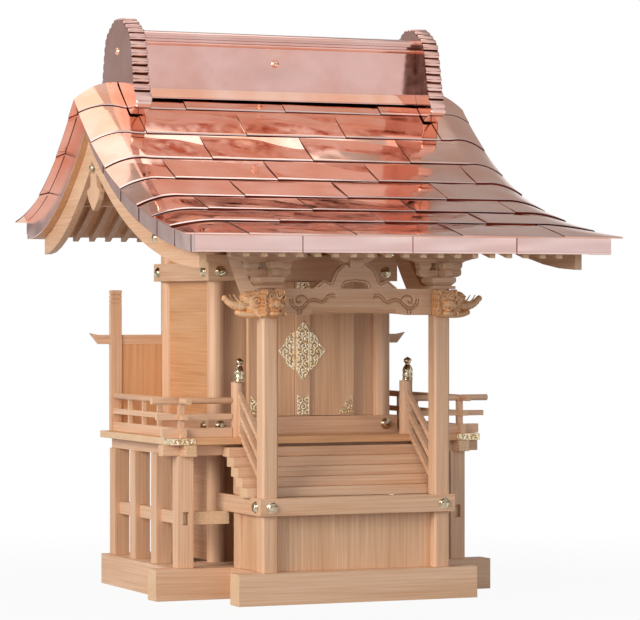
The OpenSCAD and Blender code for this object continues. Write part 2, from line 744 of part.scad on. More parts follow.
module bracket_bearings() color("tan") {
    both() translate([porch_x, porch_y, bearing_z])
        for (p = [[0, 0], [1, 0], [-1, 0], [0, 1], [0, -1]])
            translate([p[0] * (arm_len - bearing_w) / 2, p[1] * (arm_len - bearing_w) / 2, 0])
                tapered_block(bearing_foot_w, bearing_w, bearing_h);
    translate([0, porch_y, frog_block_z])
        tapered_block(frog_block_foot_w, frog_block_w, frog_block_top - frog_block_z);
}

// Plates with stepped, curved undersides, over the pillars and over the strut
plate_t = 12;
frog_plate_len = 47;
plate_shares = [[0.58, 0], [0.66, 0.18], [0.78, 0.3], [0.86, 0.4], [0.97, 0.46], [1, 0.62], [1, 1]];

module bracket_plate(len) {
    polygon([for (s = [1, -1]) each [for (p = s > 0 ? plate_shares : flip(plate_shares))
        [s * p[0] * len / 2, plate_z + p[1] * plate_h]]]);
}

module bracket_plates() color("tan") plate_y(porch_y - plate_t / 2, porch_y + plate_t / 2) {
    for (x = [-porch_x, porch_x])
        translate([x, 0]) bracket_plate(plate_len);
    difference() {
        bracket_plate(frog_plate_len);
        translate([-frog_block_w / 2 - fit, 0]) square([frog_block_w + 2 * fit, frog_block_top]);
    }
}

// Shrimp-backed tie beams, swept up from the porch pillars to the body pillars
tie_beam_t = 9;
tie_beam_h = 26;
tie_beam_rise = 88;
tie_beam_power = 1.2;
tie_beam_steps = 14;
probe_share = 0.01;
tie_beam_y0 = porch_y + porch_r + fit;
tie_beam_y1 = front_y - pillar_r - fit;
tie_beam_z = porch_beam_z + tie_beam_h / 2;
function swing(t) = pow(t, tie_beam_power) * pow(t, tie_beam_power) * (3 - 2 * pow(t, tie_beam_power));
function swing_lean(t) = sqrt(1 + pow(tie_beam_rise * (swing(t + probe_share) - swing(t))
    / (probe_share * (tie_beam_y1 - tie_beam_y0)), 2));
function tie_edge(k) = [for (i = [0:tie_beam_steps]) let (t = i / tie_beam_steps)
    [tie_beam_y0 + (tie_beam_y1 - tie_beam_y0) * t,
        tie_beam_z + tie_beam_rise * swing(t) + k * tie_beam_h / 2 * swing_lean(t)]];

module tie_beams() color("tan") both()
    plate_x(pillar_x - tie_beam_t / 2, pillar_x + tie_beam_t / 2)
        polygon(concat(tie_edge(-1), flip(tie_edge(1))));

// Body
module body_pillars() color("wheat") both() {
    translate([pillar_x, front_y, sill_h])
        cylinder(h = front_purlin_z - purlin_h - sill_h, r = pillar_r);
    translate([pillar_x, rear_y, sill_h])
        cylinder(h = rear_purlin_z - purlin_h - sill_h, r = pillar_r);
}

gable_side = purlin_w / 2 + fit;
wall_front_us = stations(-1, gable_side, front_purlin_u - gable_side);
wall_rear_us = stations(1, gable_side, rear_purlin_u - gable_side);

module body_side_walls() color("burlywood") both() difference() {
    plate_x(wall_in, wall_out)
        polygon(concat([[front_y, sill_h], [rear_y, sill_h], [rear_y, rear_purlin_z - purlin_h],
                [rear_y - gable_side, rear_purlin_z - purlin_h]],
            flip(slope_line(1, boards_t + seat, wall_rear_us)),
            [[ridge_y + gable_side, ridge_purlin_z - purlin_h],
                [ridge_y - gable_side, ridge_purlin_z - purlin_h]],
            slope_line(-1, boards_t + seat, wall_front_us),
            [[front_y + gable_side, front_purlin_z - purlin_h], [front_y, front_purlin_z - purlin_h]]));
    pillar_cuts();
}

module body_rear_wall() color("burlywood") difference() {
    block([-wall_in, rear_in, sill_h], [wall_in, rear_out, rear_purlin_z - purlin_h]);
    pillar_cuts();
}

module body_front_panels() color("burlywood") difference() {
    for (z = [[sill_h, door_z - door_gap], [upper_band_z, front_purlin_z - purlin_h]])
        block([-wall_in, panel_front, z[0]], [wall_in, panel_back, z[1]]);
    pillar_cuts();
}

module body_front_wings() color("burlywood") both() difference() {
    block([way_x, panel_front, door_z - door_gap], [wall_in, panel_back, upper_band_z]);
    pillar_cuts();
}

module body_floor() color("burlywood") difference() {
    block([-wall_in, panel_back, floor_top - floor_t], [wall_in, rear_in, floor_top]);
    pillar_cuts();
}

module pivot_holes() {
    both()
        for (z = [door_z - door_gap - pivot_len, upper_band_z - over])
            translate([hinge_x, door_mid, z])
                cylinder(h = pivot_len + over, d = pivot_d + 2 * pivot_play);
}

module body_cross_bands() color("wheat") difference() {
    for (z = [[lower_band_z, lower_band_h], [upper_band_z, upper_band_h]]) {
        block([-band_x, band_front, z[0]], [band_x, panel_front, z[0] + z[1]]);
        block([-band_x, rear_out, z[0]], [band_x, band_rear, z[0] + z[1]]);
    }
    pillar_cuts();
    pivot_holes();
}

module body_side_bands() color("wheat") both() difference() {
    for (z = [[lower_band_z, lower_band_h], [upper_band_z, upper_band_h]])
        block([wall_out, panel_front, z[0]], [band_x, rear_out, z[0] + z[1]]);
    pillar_cuts();
}

head_nose = 5;

module body_head_beam() color("wheat") difference() {
    block([-band_x - head_nose, band_front - head_nose, head_z],
        [band_x + head_nose, panel_front, head_z + head_h]);
    pillar_cuts();
}

// Doors: two leaves on pivot pins, the right one with the cover strip over the meeting line
module leaf(x0, x1) {
    block([x0, door_front, door_z], [x1, door_front + door_t, door_z + door_h]);
    translate([x1, door_mid, door_z]) cylinder(h = door_h, d = door_t);
    for (z = [door_z - pivot_len + door_gap, door_z + door_h - over])
        translate([x1, door_mid, z]) cylinder(h = pivot_len - door_gap + over, d = pivot_d);
}

module door_left() color("wheat") mirror([1, 0, 0]) leaf(cover_w / 2 + meet_gap, hinge_x);

module door_right() color("wheat") {
    leaf(-cover_w / 2, hinge_x);
    block([-cover_w / 2, door_front - cover_t, door_z], [cover_w / 2, door_front + over, door_z + door_h]);
}

// Roof frame
module purlins() color("tan") {
    for (p = [[front_y, front_purlin_z], [rear_y, rear_purlin_z], [porch_y, porch_purlin_z],
        [ridge_y, ridge_purlin_z]])
        block([-purlin_x, p[0] - purlin_w / 2, p[1] - purlin_h], [purlin_x, p[0] + purlin_w / 2, p[1]]);
}

rafter_n = floor((crease_x - rafter_w / 2) / rafter_pitch);
rafter_set = 9;

module rafters(side, u0) {
    us = stations(side, u0, run_of(side) - rafter_set);
    for (i = [-rafter_n:rafter_n])
        plate_x(i * rafter_pitch - rafter_w / 2, i * rafter_pitch + rafter_w / 2)
            polygon(concat(slope_line(side, boards_t + fit, us), flip(slope_line(side, rafters_t, us))));
}

module rafters_front() color("wheat") rafters(-1, front_purlin_u);

module rafters_rear() color("wheat") rafters(1, rear_purlin_u);

// Copper: a skin that runs flat between the creases and bends down to the lips of the verges
function copper_xs(u, side) = let (w = lip_x(u, side) - crease_x)
    [for (k = [0:verge_steps]) crease_x + w * k / verge_steps];
function copper_edge(u, side, t, xs, g) = concat(
    [for (x = flip(xs)) [-x, slope_y(u, side), under_z(u, side, t) - bend(x, u, side) - g]],
    [for (x = xs) [x, slope_y(u, side), under_z(u, side, t) - bend(x, u, side) - g]]);
function front_to_back(side, us) = side < 0 ? flip(us) : us;

module copper(side) {
    us = front_to_back(side, stations(side, 0, run_of(side)));
    skin([for (u = us) concat(copper_edge(u, side, 0, copper_xs(u, side), 0),
        flip(copper_edge(u, side, copper_t, copper_xs(u, side), 0)))]);
}

module copper_front() color("darksalmon") copper(-1);

module copper_rear() color("darksalmon") copper(1);

// Boards: even between the bargeboards, deeper along the verges down to the foot of the verge strips
barge_in = barge_x - barge_t;
function board_xs(u, side) = [crease_x, (crease_x + barge_in) / 2, barge_in, barge_in + over,
    strip_x(u, side) - strip_t];
function board_foot(x, u, side) = x > barge_in ? min(verge_foot(u, side), under_z(u, side, boards_t))
    : under_z(u, side, boards_t);
function board_ring(u, side) = let (xs = board_xs(u, side), y = slope_y(u, side))
    concat(copper_edge(u, side, copper_t, xs, seat),
        [for (x = flip(xs)) [x, y, board_foot(x, u, side)]],
        [for (x = xs) [-x, y, board_foot(x, u, side)]]);

module roof_boards(side) {
    us = front_to_back(side, stations(side, 0, run_of(side) - eave_over - strip_t));
    skin([for (u = us) board_ring(u, side)]);
}

module roof_boards_front() color("tan") roof_boards(-1);

module roof_boards_rear() color("tan") roof_boards(1);

module copper_eave_strips() color("rosybrown") for (side = [-1, 1]) {
    u = run_of(side) - eave_over;
    x = strip_x(u, side);
    top = under_z(run_of(side), side, copper_t) - seat;
    low = under_z(u - strip_t, side, boards_t);
    y = slope_y(u, side);
    block([-x, side < 0 ? y : y - strip_t, low], [x, side < 0 ? y + strip_t : y, top]);
}

module copper_verge_strips() color("rosybrown") both() for (side = [-1, 1]) {
    us = front_to_back(side, stations(side, 0, run_of(side) - eave_over - strip_t));
    skin([for (u = us) let (x = strip_x(u, side), y = slope_y(u, side), foot = verge_foot(u, side),
            top = under_z(u, side, copper_t) - bend(x, u, side) - seat)
        [[x - strip_t, y, top], [x, y, top], [x, y, foot], [x - strip_t, y, foot]]]);
}

barge_end_share = 0.9;
barge_front_u = front_run * barge_end_share;
barge_rear_u = rear_run * barge_end_share;

function barge_top(u, side) = (u > 0 ? board_foot(barge_x, u, side)
    : min(board_foot(barge_x, 0, -1), board_foot(barge_x, 0, 1))) - fit;

module bargeboards() color("burlywood") both() {
    front = stations(-1, 0, barge_front_u);
    rear = stations(1, 0, barge_rear_u);
    plate_x(barge_x - barge_t, barge_x)
        polygon(concat([for (u = flip(front)) [slope_y(u, -1), barge_top(u, -1)]],
            [for (u = rear) if (u > 0) [slope_y(u, 1), barge_top(u, 1)]],
            [for (u = flip(rear)) if (u > 0) [slope_y(u, 1), barge_foot(u, 1)]],
            [for (u = front) [slope_y(u, -1), barge_foot(u, -1)]]));
}

pendant_t = 6;
pendant_shares = [[0, 0], [0.2, 0.1], [0.38, 0.22], [0.5, 0.36], [0.48, 0.43], [0.34, 0.45], [0.24, 0.52],
    [0.22, 0.66], [0.3, 0.76], [0.34, 0.9]];

module gable_pendants() color("wheat") both() {
    peak = barge_foot(0, -1);
    low = peak - pendant_h;
    plate_x(barge_x - barge_t, barge_x - barge_t + pendant_t)
        difference() {
            polygon(concat([for (p = pendant_shares) [ridge_y + p[0] * pendant_w, low + p[1] * pendant_h]],
                [[ridge_y, peak + pendant_h]],
                [for (p = flip(pendant_shares)) if (p[0] > 0)
                    [ridge_y - p[0] * pendant_w, low + p[1] * pendant_h]]));
            polygon(concat([for (u = flip(stations(-1, 0, pendant_w))) [slope_y(u, -1), barge_foot(u, -1) - fit]],
                [for (u = stations(1, 0, pendant_w)) if (u > 0) [slope_y(u, 1), barge_foot(u, 1) - fit]],
                [[ridge_y + pendant_w, peak + 2 * pendant_h], [ridge_y - pendant_w, peak + 2 * pendant_h]]));
        }
}

// Ridge: box, rounded cap and two scalloped end plates, all seated on the copper
function saddle(w, g) = concat(
    [for (u = flip(stations(-1, 0, w))) [slope_y(u, -1), roof_z(u, -1) + g]],
    [for (u = stations(1, 0, w)) if (u > 0) [slope_y(u, 1), roof_z(u, 1) + g]]);
ridge_top = ridge_z + ridge_h;
saddle_lift = 0.6;

module ridge_box() color("rosybrown") plate_x(-ridge_len / 2, ridge_len / 2)
    polygon(concat(saddle(ridge_d / 2, saddle_lift),
        [[ridge_y + ridge_d / 2, ridge_top], [ridge_y - ridge_d / 2, ridge_top]]));

cap_steps = 8;
cap_edge_share = 0.33;

module ridge_cap() color("rosybrown") plate_x(-ridge_len / 2, ridge_len / 2) {
    half = ridge_d / 2 + cap_over;
    edge = cap_h * cap_edge_share;
    polygon(concat([[ridge_y - half, ridge_top], [ridge_y + half, ridge_top]],
        [for (i = [0:cap_steps]) let (a = 180 * i / cap_steps)
            [ridge_y + half * cos(a), ridge_top + edge + (cap_h - edge) * sin(a)]]));
}

// Outline of an end plate: a flat crown, scalloped sides that widen downwards, and two curled feet; the line
// of the sides is given as share of the way along it, share of the half width and share of the height
lobe_n = 9;
lobe_steps = 4;
lobe_depth = 2.2;
end_line_shares = [[0, 0.25, 1], [0.21, 0.56, 0.85], [0.36, 0.79, 0.75], [0.47, 0.9, 0.62],
    [0.74, 1.01, 0.27], [1, 1.09, -0.06]];
end_foot_shares = [[0.9, -0.16], [1, -0.26], [1, -0.36], [0.94, -0.53]];
end_heart_share = 0.3;
function end_point(t) = [end_w / 2 * lookup(t, [for (p = end_line_shares) [p[0], p[1]]]),
    ridge_z + end_h * lookup(t, [for (p = end_line_shares) [p[0], p[2]]])];
function lobe(i) = lobe_depth * (1 - abs(sin(180 * i / lobe_steps)));
function lobed(p, depth) = let (d = p - [0, ridge_z + end_heart_share * end_h]) p - d / norm(d) * depth;

module ridge_ends() color("rosybrown") both() plate_x(ridge_len / 2 + fit, ridge_len / 2 + end_t) {
    n = lobe_n * lobe_steps;
    edge = concat([[0, ridge_z + end_h]], [for (i = [0:n]) lobed(end_point(i / n), lobe(i))],
        [for (s = end_foot_shares) [s[0] * end_foot_w / 2, ridge_z + s[1] * end_h]]);
    difference() {
        polygon(concat([for (p = edge) [ridge_y + p[0], p[1]]],
            [for (p = flip(edge)) if (p[0] > 0) [ridge_y - p[0], p[1]]]));
        polygon(concat(saddle(end_foot_w, saddle_lift), [[ridge_y + end_foot_w, 0], [ridge_y - end_foot_w, 0]]));
    }
}

// Side screens at the rear ends of the side verandas
screen_set = 3.2;
screen_post_x = post_x + screen_set;
screen_reach = screen_post_x + screen_over;
screen_tip_rise = 2;
screen_panel_t = 3;
lintel_low = deck_z + screen_lintel_z;
groove_d = 1.2;
groove_h = 1.6;
groove_shares = [0.9, 0.93, 0.96];

module screen_posts() color("wheat") both() difference() {
    block([screen_post_x - screen_post_w / 2, screen_front, deck_z],
        [screen_post_x + screen_post_w / 2, screen_y + screen_post_t / 2, deck_z + screen_post_h]);
    block([0, screen_y - screen_lintel_t / 2 - fit, lintel_low - fit],
        [screen_reach, screen_y + screen_lintel_t / 2 + fit, lintel_low + screen_lintel_h + fit]);
    for (s = groove_shares, y = [screen_front - over, screen_y + screen_post_t / 2 - groove_d])
        block([screen_post_x - screen_post_w, y, deck_z + s * screen_post_h],
            [screen_post_x + screen_post_w, y + groove_d + over, deck_z + s * screen_post_h + groove_h]);
}

module screen_lintels() color("wheat") both() difference() {
    plate_y(screen_y - screen_lintel_t / 2, screen_y + screen_lintel_t / 2)
        polygon([[pillar_x, lintel_low], [screen_reach - screen_lintel_h, lintel_low],
            [screen_reach, lintel_low + screen_lintel_h + screen_tip_rise],
            [screen_reach - screen_lintel_h, lintel_low + screen_lintel_h],
            [pillar_x, lintel_low + screen_lintel_h]]);
    pillar_cuts();
}

module screen_panels() color("burlywood") both() difference() {
    union() {
        block([pillar_x, screen_y - screen_panel_t / 2, deck_z + lower_band_h],
            [screen_post_x - screen_post_w / 2, screen_y + screen_panel_t / 2, lintel_low]);
        block([band_x, screen_y - screen_panel_t / 2, deck_z],
            [screen_post_x - screen_post_w / 2, screen_y + screen_panel_t / 2, lintel_low]);
    }
    pillar_cuts();
}

// Brass covers over the nails, six-sided rims with a domed boss
cover_d = 12;
cover_h = 1.4;
boss_d = 6.5;
boss_h = 3;

module nail_cover() {
    cylinder(h = cover_h, d = cover_d);
    cylinder(h = boss_h, d = boss_d);
}

module nail_covers() color("gold") both() {
    lower = lower_band_z + lower_band_h / 2;
    upper = upper_band_z + upper_band_h / 2;
    for (z = [lower, upper])
        translate([pillar_x, band_front, z]) rotate([90, 0, 0]) nail_cover();
    for (p = [[front_y, lower], [front_y, upper], [rear_y, upper]])
        translate([band_x, p[0], p[1]]) rotate([0, 90, 0]) nail_cover();
    translate([porch_x, porch_rail_front, porch_rail_z - porch_rail_h / 2]) rotate([90, 0, 0]) nail_cover();
    translate([porch_rail_x + porch_rail_t, porch_y, porch_rail_z - porch_rail_h / 2])
        rotate([0, 90, 0]) nail_cover();
}

base_cross_sills();
base_side_sills();
porch_sill();
veranda_posts();
veranda_tie_rails();
veranda_front_beam();
veranda_side_beams();
veranda_deck();
deck_corner_bands();
railing_sides();
railing_fronts();
newel_posts();
newel_finials();
stair_treads_odd();
stair_treads_even();
stair_boards();
stair_handrails();
porch_pillars();
porch_rear_posts();
porch_panels();
porch_front_rail();
porch_side_rails();
porch_beam();
lion_heads();
elephant_heads();
bracket_blocks();
bracket_arms();
bracket_bearings();
frog_leg_strut();
bracket_plates();
tie_beams();
body_pillars();
body_side_walls();
body_rear_wall();
body_front_panels();
body_front_wings();
body_floor();
body_cross_bands();
body_side_bands();
body_head_beam();
door_left();
door_right();
purlins();
rafters_front();
rafters_rear();
roof_boards_front();
roof_boards_rear();
copper_front();
copper_rear();
copper_eave_strips();
copper_verge_strips();
bargeboards();
gable_pendants();
ridge_box();
ridge_cap();
ridge_ends();
screen_posts();
screen_lintels();
screen_panels();
nail_covers();
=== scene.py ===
import math
import bpy
import numpy as np
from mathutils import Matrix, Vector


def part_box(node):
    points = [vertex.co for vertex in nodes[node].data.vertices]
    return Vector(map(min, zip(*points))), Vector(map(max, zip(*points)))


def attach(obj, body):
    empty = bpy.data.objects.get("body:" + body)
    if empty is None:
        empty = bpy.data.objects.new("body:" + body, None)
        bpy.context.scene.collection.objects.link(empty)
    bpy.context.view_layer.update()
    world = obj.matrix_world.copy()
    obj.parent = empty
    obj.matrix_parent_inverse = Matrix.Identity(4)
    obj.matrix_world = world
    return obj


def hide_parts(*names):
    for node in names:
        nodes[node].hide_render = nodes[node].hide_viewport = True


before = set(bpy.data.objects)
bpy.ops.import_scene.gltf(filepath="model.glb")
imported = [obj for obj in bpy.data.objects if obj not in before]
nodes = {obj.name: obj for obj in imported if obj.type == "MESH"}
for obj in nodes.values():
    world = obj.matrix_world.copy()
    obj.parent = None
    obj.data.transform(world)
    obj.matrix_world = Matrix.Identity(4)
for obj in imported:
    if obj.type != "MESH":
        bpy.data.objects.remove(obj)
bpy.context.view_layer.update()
print("frame loaded,", len(nodes), "nodes")


# small helpers for meshes and materials
def linear(hexText):  # sRGB hex to linear colour
    c = np.array([int(hexText[i:i + 2], 16) for i in (0, 2, 4)]) / 255
    return tuple(np.where(c <= 0.04045, c / 12.92, ((c + 0.055) / 1.055) ** 2.4)) + (1.0,)


def addNode(tree, kind, inputs=None, stops=(), **props):
    # one node with its settings and links, for its outputs; stops are the (place, hex colour) pairs of a ramp
    node = tree.nodes.new("ShaderNode" + kind)
    for key, value in props.items():
        setattr(node, key, value)
    for key, value in (inputs or {}).items():
        if isinstance(value, bpy.types.NodeSocket):
            tree.links.new(value, node.inputs[key])
        else:
            node.inputs[key].default_value = value
    for k, (place, hexText) in enumerate(stops):
        band = node.color_ramp.elements
        element = band[k] if k < len(band) else band.new(place)
        element.position, element.color = place, linear(hexText)
    return node.outputs


def newMaterial(name):
    material = bpy.data.materials.new(name)
    material.use_nodes = True
    material.node_tree.nodes.clear()
    return material, material.node_tree


def addObject(name, data):
    thing = bpy.data.objects.new(name, data)
    bpy.context.scene.collection.objects.link(thing)
    return thing


def makePiece(name, verts, faces, material, slot, replaces=(), body="shrine", smooth=True, crease=0, marks=(),
              others=()):
    # sizes are in mm up to here; edges that bend by more than crease degrees stay sharp, and marked faces take
    # the first, second ... of the other materials
    mesh = bpy.data.meshes.new(name)
    faces = faces.tolist() if isinstance(faces, np.ndarray) else faces
    mesh.from_pydata(verts * 0.001, [], faces)
    mesh.polygons.foreach_set("use_smooth", np.full(len(mesh.polygons), smooth))
    for used in (material, *others):
        mesh.materials.append(used)
    chosen = np.zeros(len(mesh.polygons), dtype=np.int32)
    chosen[:len(marks)] = marks
    mesh.polygons.foreach_set("material_index", chosen)
    mesh.update()
    piece = addObject(name, mesh)
    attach(piece, body)
    if replaces:
        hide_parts(*replaces)
    if crease:
        piece.modifiers.new("crease edges", "EDGE_SPLIT").split_angle = math.radians(crease)
    return piece


def gridFaces(rows, cols, wrap=False, start=0):
    # quads of a rows by cols grid, row after row; wrap joins the last column to the first
    i, j = np.meshgrid(np.arange(rows - 1), np.arange(cols if wrap else cols - 1), indexing="ij")
    a, b = i * cols + j, i * cols + (j + 1) % cols
    return np.stack([a, b, b + cols, a + cols], -1).reshape(-1, 4) + start


def closedSheet(top, bottom):
    # two grids of the same size, and quads round their four edges, as one closed shell
    rows, cols = top.shape[:2]
    n = rows * cols
    up = gridFaces(rows, cols)
    down = gridFaces(rows, cols, start=n)[:, ::-1]
    ids = np.arange(n).reshape(rows, cols)
    ring = np.concatenate([ids[0, :-1], ids[:-1, -1], ids[-1, :0:-1], ids[:0:-1, 0]])
    following = np.roll(ring, -1)
    rim = np.stack([following, ring, ring + n, following + n], -1)
    return np.concatenate([top.reshape(-1, 3), bottom.reshape(-1, 3)]), np.concatenate([up, down, rim])


def closedRings(grid, flip=False):
    # rings of points, one in each row, joined by quads, with the first and the last ring closed
    rows, cols = grid.shape[:2]
    ids = np.arange(rows * cols).reshape(rows, cols)
    faces = gridFaces(rows, cols, wrap=True).tolist() + [ids[0, ::-1].tolist(), ids[-1].tolist()]
    return grid.reshape(-1, 3), ([face[::-1] for face in faces] if flip else faces)


def joined(*parts):  # several (verts, faces) as one mesh
    verts, faces, count = [], [], 0
    for v, f in parts:
        verts.append(v)
        faces += [[int(k) + count for k in face] for face in f]
        count += len(v)
    return np.concatenate(verts), faces


def mirrored(part):  # the same shape on the other side, faces kept outwards
    verts, faces = part
    return verts * (-1, 1, 1), [list(f)[::-1] for f in faces]


def paired(*parts):  # shapes, and the same on the other side
    return joined(*parts, *[mirrored(part) for part in parts])


def ripples(a, b, seed, wave, count=14):
    # soft dents: cosines of random direction and phase, about one wave length apart, added up
    rng = np.random.default_rng(seed)
    turn = rng.uniform(0, 2 * np.pi, count)
    size = rng.uniform(0.6, 1.6, count) * 2 * np.pi / wave
    shift = rng.uniform(0, 2 * np.pi, count)
    waves = np.cos(a[..., None] * np.cos(turn) * size + b[..., None] * np.sin(turn) * size + shift)
    return waves.sum(-1) / math.sqrt(count)


def smoothLine(points, count):
    # points joined by a cubic through them, even along its length
    p = np.asarray(points, float)
    p = np.concatenate([[2 * p[0] - p[1]], p, [2 * p[-1] - p[-2]]])
    k = np.linspace(0, len(p) - 3 - 1e-9, 40 * len(p))
    i, f = np.floor(k).astype(int), (k % 1)[:, None]
    a, b, c, d = p[i], p[i + 1], p[i + 2], p[i + 3]
    bent = (2 * a - 5 * b + 4 * c - d) * f ** 2 + (3 * b - a - 3 * c + d) * f ** 3
    line = 0.5 * (2 * b + (c - a) * f + bent)
    run = lengths(line)
    even = np.linspace(0, run[-1], count)
    return np.stack([np.interp(even, run, line[:, k]) for k in range(line.shape[1])], -1)


def lengths(line):  # how far each point lies along a line
    return np.r_[0, np.cumsum(np.linalg.norm(np.diff(line, axis=0), axis=1))]


def sideways(line):  # unit vectors square to a flat line
    square = np.gradient(line, axis=0)[:, ::-1] * (1, -1)
    return square / np.linalg.norm(square, axis=1)[:, None]


# materials: sizes of their patterns in mm; each wood has a pale, a middle and a deep tone
wood = dict(
    ring=1.7, ringLength=60, figure=30, figureLength=8, ringShare=0.62, rough=0.5,
    frame=("e6c5a8", "dab394", "cc9e7a"), board=("e0b58c", "d5a377", "c68f63"),
    door=("e2c0a0", "d6ae8c", "c89c78"), groove=("b98a68", "a27554", "8a5f42"),
    carved=("f6cba0", "e6ad78", "b87744"), endPale="e4c6a4", endDeep="d2ab84")
copper = dict(bloom=55, haze=14, relief=0.5)
# gilding noise: its size in mm, the pale tone that paints its raised parts as highlight, and its relief
brass = dict(reliefAndSheen=6, paintedHighlight="fbf2d6", relief=0.15, reliefDepth=0.3)


def hinoki(name, axis, kind):
    # hinoki cypress, planed with a sharp blade: straight fine rings, silky and nearly without gloss
    pale, mid, deep = wood[kind]
    material, tree = newMaterial(name)
    place = addNode(tree, "TexCoord")["Object"]
    # fine rings and a broad figure, both drawn out along the grain
    fine, broad = [1000 / wood["ring"]] * 3, [1000 / wood["figure"]] * 3
    fine[axis], broad[axis] = fine[axis] / wood["ringLength"], broad[axis] / wood["figureLength"]
    fine, broad = [addNode(tree, "Mapping", {"Vector": place, "Scale": scale})[0] for scale in (fine, broad)]
    rings = addNode(tree, "TexNoise", {"Vector": fine, "Scale": 1, "Detail": 4, "Roughness": 0.62})["Fac"]
    figure = addNode(tree, "TexNoise", {"Vector": broad, "Scale": 1, "Detail": 2})["Fac"]
    mixed = addNode(tree, "Math", {0: rings, 1: wood["ringShare"]}, operation="MULTIPLY")
    mixed = addNode(tree, "Math", {0: figure, 1: 1 - wood["ringShare"], 2: mixed[0]}, operation="MULTIPLY_ADD")[0]
    face = addNode(tree, "ValToRGB", {"Fac": mixed}, [(0.34, deep), (0.5, mid), (0.66, pale)])
    # end grain where a face looks along the grain
    normal = addNode(tree, "NewGeometry")["Normal"]
    normal = addNode(tree, "SeparateXYZ", {0: normal})[axis]
    facing = addNode(tree, "Math", {0: normal}, operation="ABSOLUTE")[0]
    endShare = addNode(tree, "MapRange", {"Value": facing, "From Min": 0.8, "From Max": 0.95})
    endGrain = addNode(tree, "ValToRGB", {"Fac": mixed}, [(0.35, wood["endDeep"]), (0.6, wood["endPale"])])
    colour = addNode(tree, "Mix", {0: endShare[0], 6: face[0], 7: endGrain[0]}, data_type="RGBA")
    bump = addNode(tree, "Bump", {"Height": rings, "Strength": 0.12, "Distance": 0.0002})
    shader = addNode(tree, "BsdfPrincipled", {"Base Color": colour[2], "Normal": bump[0],
                                              "Roughness": wood["rough"], "IOR": 1.5})
    addNode(tree, "OutputMaterial", {"Surface": shader[0]})
    return material


def copperSheet(name, dentSize, dentDepth, base, warm, rough, hazeRange=0.12):
    # rolled copper sheet, polished and folded by hand: mirror bright, pink, with soft dents and warmer bloom
    material, tree = newMaterial(name)
    place = addNode(tree, "TexCoord")["Object"]
    sizes = ((copper["bloom"], 3), (copper["haze"], 2), (dentSize, 1.5))
    bloom, haze, dents = [addNode(tree, "TexNoise", {"Vector": place, "Scale": 1000 / size, "Detail": detail})["Fac"]
                          for size, detail in sizes]
    colour = addNode(tree, "ValToRGB", {"Fac": bloom}, [(0.35, warm), (0.62, base)])
    dull = addNode(tree, "MapRange", {"Value": haze, "From Min": 0.3, "From Max": 0.7,
                                      "To Min": rough - hazeRange * 0.4, "To Max": rough + hazeRange * 0.6})
    bump = addNode(tree, "Bump", {"Height": dents, "Strength": copper["relief"], "Distance": dentDepth * 0.001})
    shader = addNode(tree, "BsdfPrincipled", {"Base Color": colour[0], "Roughness": dull[0], "Normal": bump[0],
                                              "Metallic": 1.0})
    addNode(tree, "OutputMaterial", {"Surface": shader[0]})
    return material


def gilding(name, base="fdf0cf", deep="e2c890", rough=0.24):
    # gilt brass, pressed and polished: warm yellow, painted highlight on the raised parts, painted shade in the low
    # ones
    material, tree = newMaterial(name)
    place = addNode(tree, "TexCoord")["Object"]
    reliefAndSheen = addNode(tree, "TexNoise", {"Vector": place, "Scale": 1000 / brass["reliefAndSheen"], "Detail": 4})["Fac"]
    colour = addNode(tree, "ValToRGB", {"Fac": reliefAndSheen}, [(0.3, deep), (0.5, base), (0.75, brass["paintedHighlight"])])
    dull = addNode(tree, "MapRange", {"Value": reliefAndSheen, "To Min": rough - 0.06, "To Max": rough + 0.14})
    bump = addNode(tree, "Bump", {"Height": reliefAndSheen, "Strength": brass["relief"],
                                  "Distance": brass["reliefDepth"] * 0.001})
    shader = addNode(tree, "BsdfPrincipled", {"Base Color": colour[0], "Roughness": dull[0], "Normal": bump[0],
                                              "Metallic": 1.0})
    addNode(tree, "OutputMaterial", {"Surface": shader[0]})
    return material


frameWood = [hinoki("hinoki planed, grain along " + axis, k, "frame") for k, axis in enumerate("xyz")]
boardWood = [hinoki("hinoki board, grain along " + axis, k, "board") for k, axis in enumerate("xyz")]
doorWood = hinoki("hinoki door board, grain along z", 2, "door")
# the groove tones are painted shade, for the grooves of the beam and the bead of the strut
shadeWood = hinoki("hinoki darkened as painted shade in the grooves", 0, "groove")
# brighter than the frame hinoki: painted light that lifts the carved heads out of the shade under the eaves
brightenedCarvedWood = hinoki("hinoki carved, brightened as painted light", 1, "carved")
roofCopper = copperSheet("copper sheet polished", 90, 0.1, base="f6cab6", warm="f0b295", rough=0.07)
# dark copy of the copper: painted shade under the laps, along the folds and joints, and in the valleys of the end
# plates
gapShadeCopper = copperSheet("copper darkened as painted shade in gaps and valleys", 8, 0.1, base="7a4030", warm="40201a", rough=0.4)
# paler copy of the copper, on the eave and verge strips; on the lower edge of each lap it is a painted highlight
edgeCopper = copperSheet("copper sheet edge strip", 50, 0.2, "f2d6d0", "efcec6", rough=0.2, hazeRange=0.04)
ridgeCopper = copperSheet("copper sheet folded over the ridge", 90, 0.2, "ecc6bc", "e4b6a8", rough=0.13)
giltBrass = gilding("brass pressed and gilt")
# darker base and deep tones: a painted reflection of a dark surround in the polished brass
darkenedPolishedBrass = gilding("brass turned and polished, darkened as painted reflection", base="b8ab90", deep="92836a", rough=0.07)
print("materials made")

